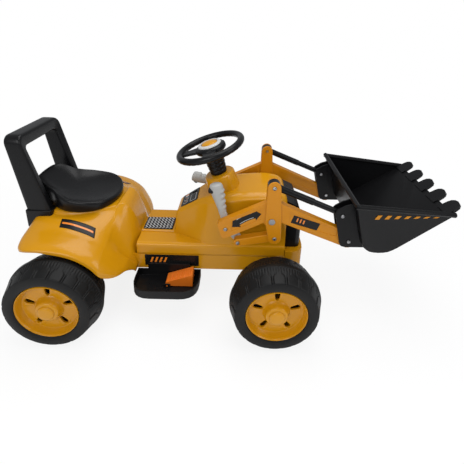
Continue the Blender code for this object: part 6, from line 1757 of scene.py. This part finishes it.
@dataclass
class Studio:
    """Floor, lamps, world and camera."""

    azimuth: float = -1.43
    elevation: float = 18.61
    roll: float = 2.43
    focal_px: float = 327.0
    centre_px: tuple = (245.0, 130.0)
    frame_px: int = 464
    place: tuple = (0.43393, -0.8475, 0.78621)
    sensor_mm: float = 36.0
    lamps: tuple = (("top_soft", (0.1, 0.1, 2.2), (0, 0, 0.2), (1.9, 1.4), 29),
                    ("front_soft", (-0.9, -2.0, 1.5), (0, 0, 0.2), (1.4, 1.2), 22),
                    ("right_soft", (1.9, -0.9, 1.3), (0.1, 0, 0.2), (1.0, 1.2), 12))
    dim_light: float = 0.44
    floor_half: float = 9
    floor_fade: tuple = (("From Min", 0.35), ("From Max", 1.3), ("To Min", 0.85), ("To Max", 1.0))

    def camera(self) -> None:
        """Camera at the photograph's angle; the shift places its sight line in the frame."""
        az, el, roll = (math.radians(v) for v in (self.azimuth, self.elevation, self.roll))
        back = Vector((math.sin(az) * math.cos(el), -math.cos(az) * math.cos(el), math.sin(el)))
        x = Vector((0, 0, 1)).cross(back).normalized()
        y = back.cross(x)
        right = x * math.cos(roll) + y * math.sin(roll)
        up = -x * math.sin(roll) + y * math.cos(roll)
        data = bpy.data.cameras.new("camera")
        data.sensor_width = self.sensor_mm
        data.lens = self.focal_px * self.sensor_mm / self.frame_px
        half = self.frame_px / 2
        data.shift_x = (half - self.centre_px[0]) / self.frame_px
        data.shift_y = (self.centre_px[1] - half) / self.frame_px
        data.clip_start = 0.01
        made = bpy.data.objects.new("camera", data)
        bpy.context.scene.collection.objects.link(made)
        turn = Matrix((right, up, back)).transposed().to_4x4()
        made.matrix_world = Matrix.Translation((self.place[0] - MIDDLE_X, self.place[1],
                                                self.place[2])) @ turn
        bpy.context.scene.camera = made

    def lamp(self, name: str, place: tuple, aim: tuple, size: tuple, power: float) -> None:
        """A rectangular area lamp aimed at a point.

        Args:
            name: lamp name.
            place: where it hangs.
            aim: the point that it faces.
            size: its two sides.
            power: its power, in watts.
        """
        data = bpy.data.lights.new(name, "AREA")
        data.shape = "RECTANGLE"
        data.size, data.size_y = size
        data.energy = power
        made = bpy.data.objects.new(name, data)
        made.location = place
        made.rotation_euler = (Vector(aim) - Vector(place)).to_track_quat("-Z", "Y").to_euler()
        bpy.context.scene.collection.objects.link(made)

    def lights(self) -> None:
        """Large soft lamps above and in front, and a white surround for the camera and the gloss."""
        for lamp in self.lamps:
            self.lamp(*lamp)
        world = bpy.data.worlds.new("studio")
        bpy.context.scene.world = world
        world.use_nodes = True
        tree = world.node_tree
        tree.nodes.clear()
        out = tree.nodes.new("ShaderNodeOutputWorld")
        mix = tree.nodes.new("ShaderNodeMixShader")
        path = tree.nodes.new("ShaderNodeLightPath")
        dim, white = tree.nodes.new("ShaderNodeBackground"), tree.nodes.new("ShaderNodeBackground")
        dim.inputs["Color"].default_value = (0.95, 0.97, 1.0, 1)
        dim.inputs["Strength"].default_value = self.dim_light
        white.inputs["Color"].default_value = (1, 1, 1, 1)
        white.inputs["Strength"].default_value = 1.0
        tree.links.new(path.outputs["Is Camera Ray"], mix.inputs["Fac"])
        tree.links.new(dim.outputs[0], mix.inputs[1])
        tree.links.new(white.outputs[0], mix.inputs[2])
        tree.links.new(mix.outputs[0], out.inputs["Surface"])

    def floor_look(self) -> bpy.types.Material:
        """Pale plastic that the camera sees mixed with white light, more of it with distance from the middle.

        Returns:
            The material.
        """
        look = bpy.data.materials.new("floor_pale")
        look.use_nodes = True
        tree = look.node_tree
        shader = tree.nodes["Principled BSDF"]
        shader.inputs["Base Color"].default_value = (0.90, 0.90, 0.90, 1)
        shader.inputs["Roughness"].default_value = 0.75
        shader.inputs["Specular IOR Level"].default_value = 0.15
        glow = tree.nodes.new("ShaderNodeEmission")
        glow.inputs["Color"].default_value = (1, 1, 1, 1)
        mix, path = tree.nodes.new("ShaderNodeMixShader"), tree.nodes.new("ShaderNodeLightPath")
        coords, length = tree.nodes.new("ShaderNodeTexCoord"), tree.nodes.new("ShaderNodeVectorMath")
        length.operation = "LENGTH"
        ramp, both = tree.nodes.new("ShaderNodeMapRange"), tree.nodes.new("ShaderNodeMath")
        for name, value in self.floor_fade:
            ramp.inputs[name].default_value = value
        both.operation = "MULTIPLY"
        tree.links.new(coords.outputs["Object"], length.inputs[0])
        tree.links.new(length.outputs["Value"], ramp.inputs["Value"])
        tree.links.new(ramp.outputs["Result"], both.inputs[0])
        tree.links.new(path.outputs["Is Camera Ray"], both.inputs[1])
        tree.links.new(both.outputs[0], mix.inputs["Fac"])
        tree.links.new(shader.outputs[0], mix.inputs[1])
        tree.links.new(glow.outputs[0], mix.inputs[2])
        tree.links.new(mix.outputs[0], tree.nodes["Material Output"].inputs["Surface"])
        return look

    def floor(self) -> None:
        """Plain pale floor, which turns into the white surround with distance."""
        mesh = bpy.data.meshes.new("floor")
        e = self.floor_half
        mesh.from_pydata([(-e, -e, 0), (e, -e, 0), (e, e, 0), (-e, e, 0)], [], [(0, 1, 2, 3)])
        made = bpy.data.objects.new("floor", mesh)
        bpy.context.scene.collection.objects.link(made)
        mesh.materials.append(self.floor_look())

    def build(self) -> None:
        """Sets up camera, lights and floor."""
        scene = bpy.context.scene
        scene.view_settings.view_transform = "Standard"
        self.camera()
        self.lights()
        self.floor()


def main() -> None:
    """Builds the studio and every piece."""
    logging.basicConfig(level=logging.INFO, format="%(message)s")
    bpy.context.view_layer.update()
    Studio().build()
    finishes = Finishes().build()
    RearShell().dress(finishes)
    FrontBody().dress(finishes)
    Seat().dress(finishes)
    BackHandle().dress(finishes)
    for side in (RIGHT, LEFT):
        Wheel("rear", side, 0.0).dress(finishes)
        Wheel("front", side, 0.544).dress(finishes)
    SteeringWheel().dress(finishes)
    loader = Loader()
    loader.dress(finishes)
    Bucket().dress(finishes, loader)
    Underworks().dress(finishes)


if __name__ == "__main__":
    main()
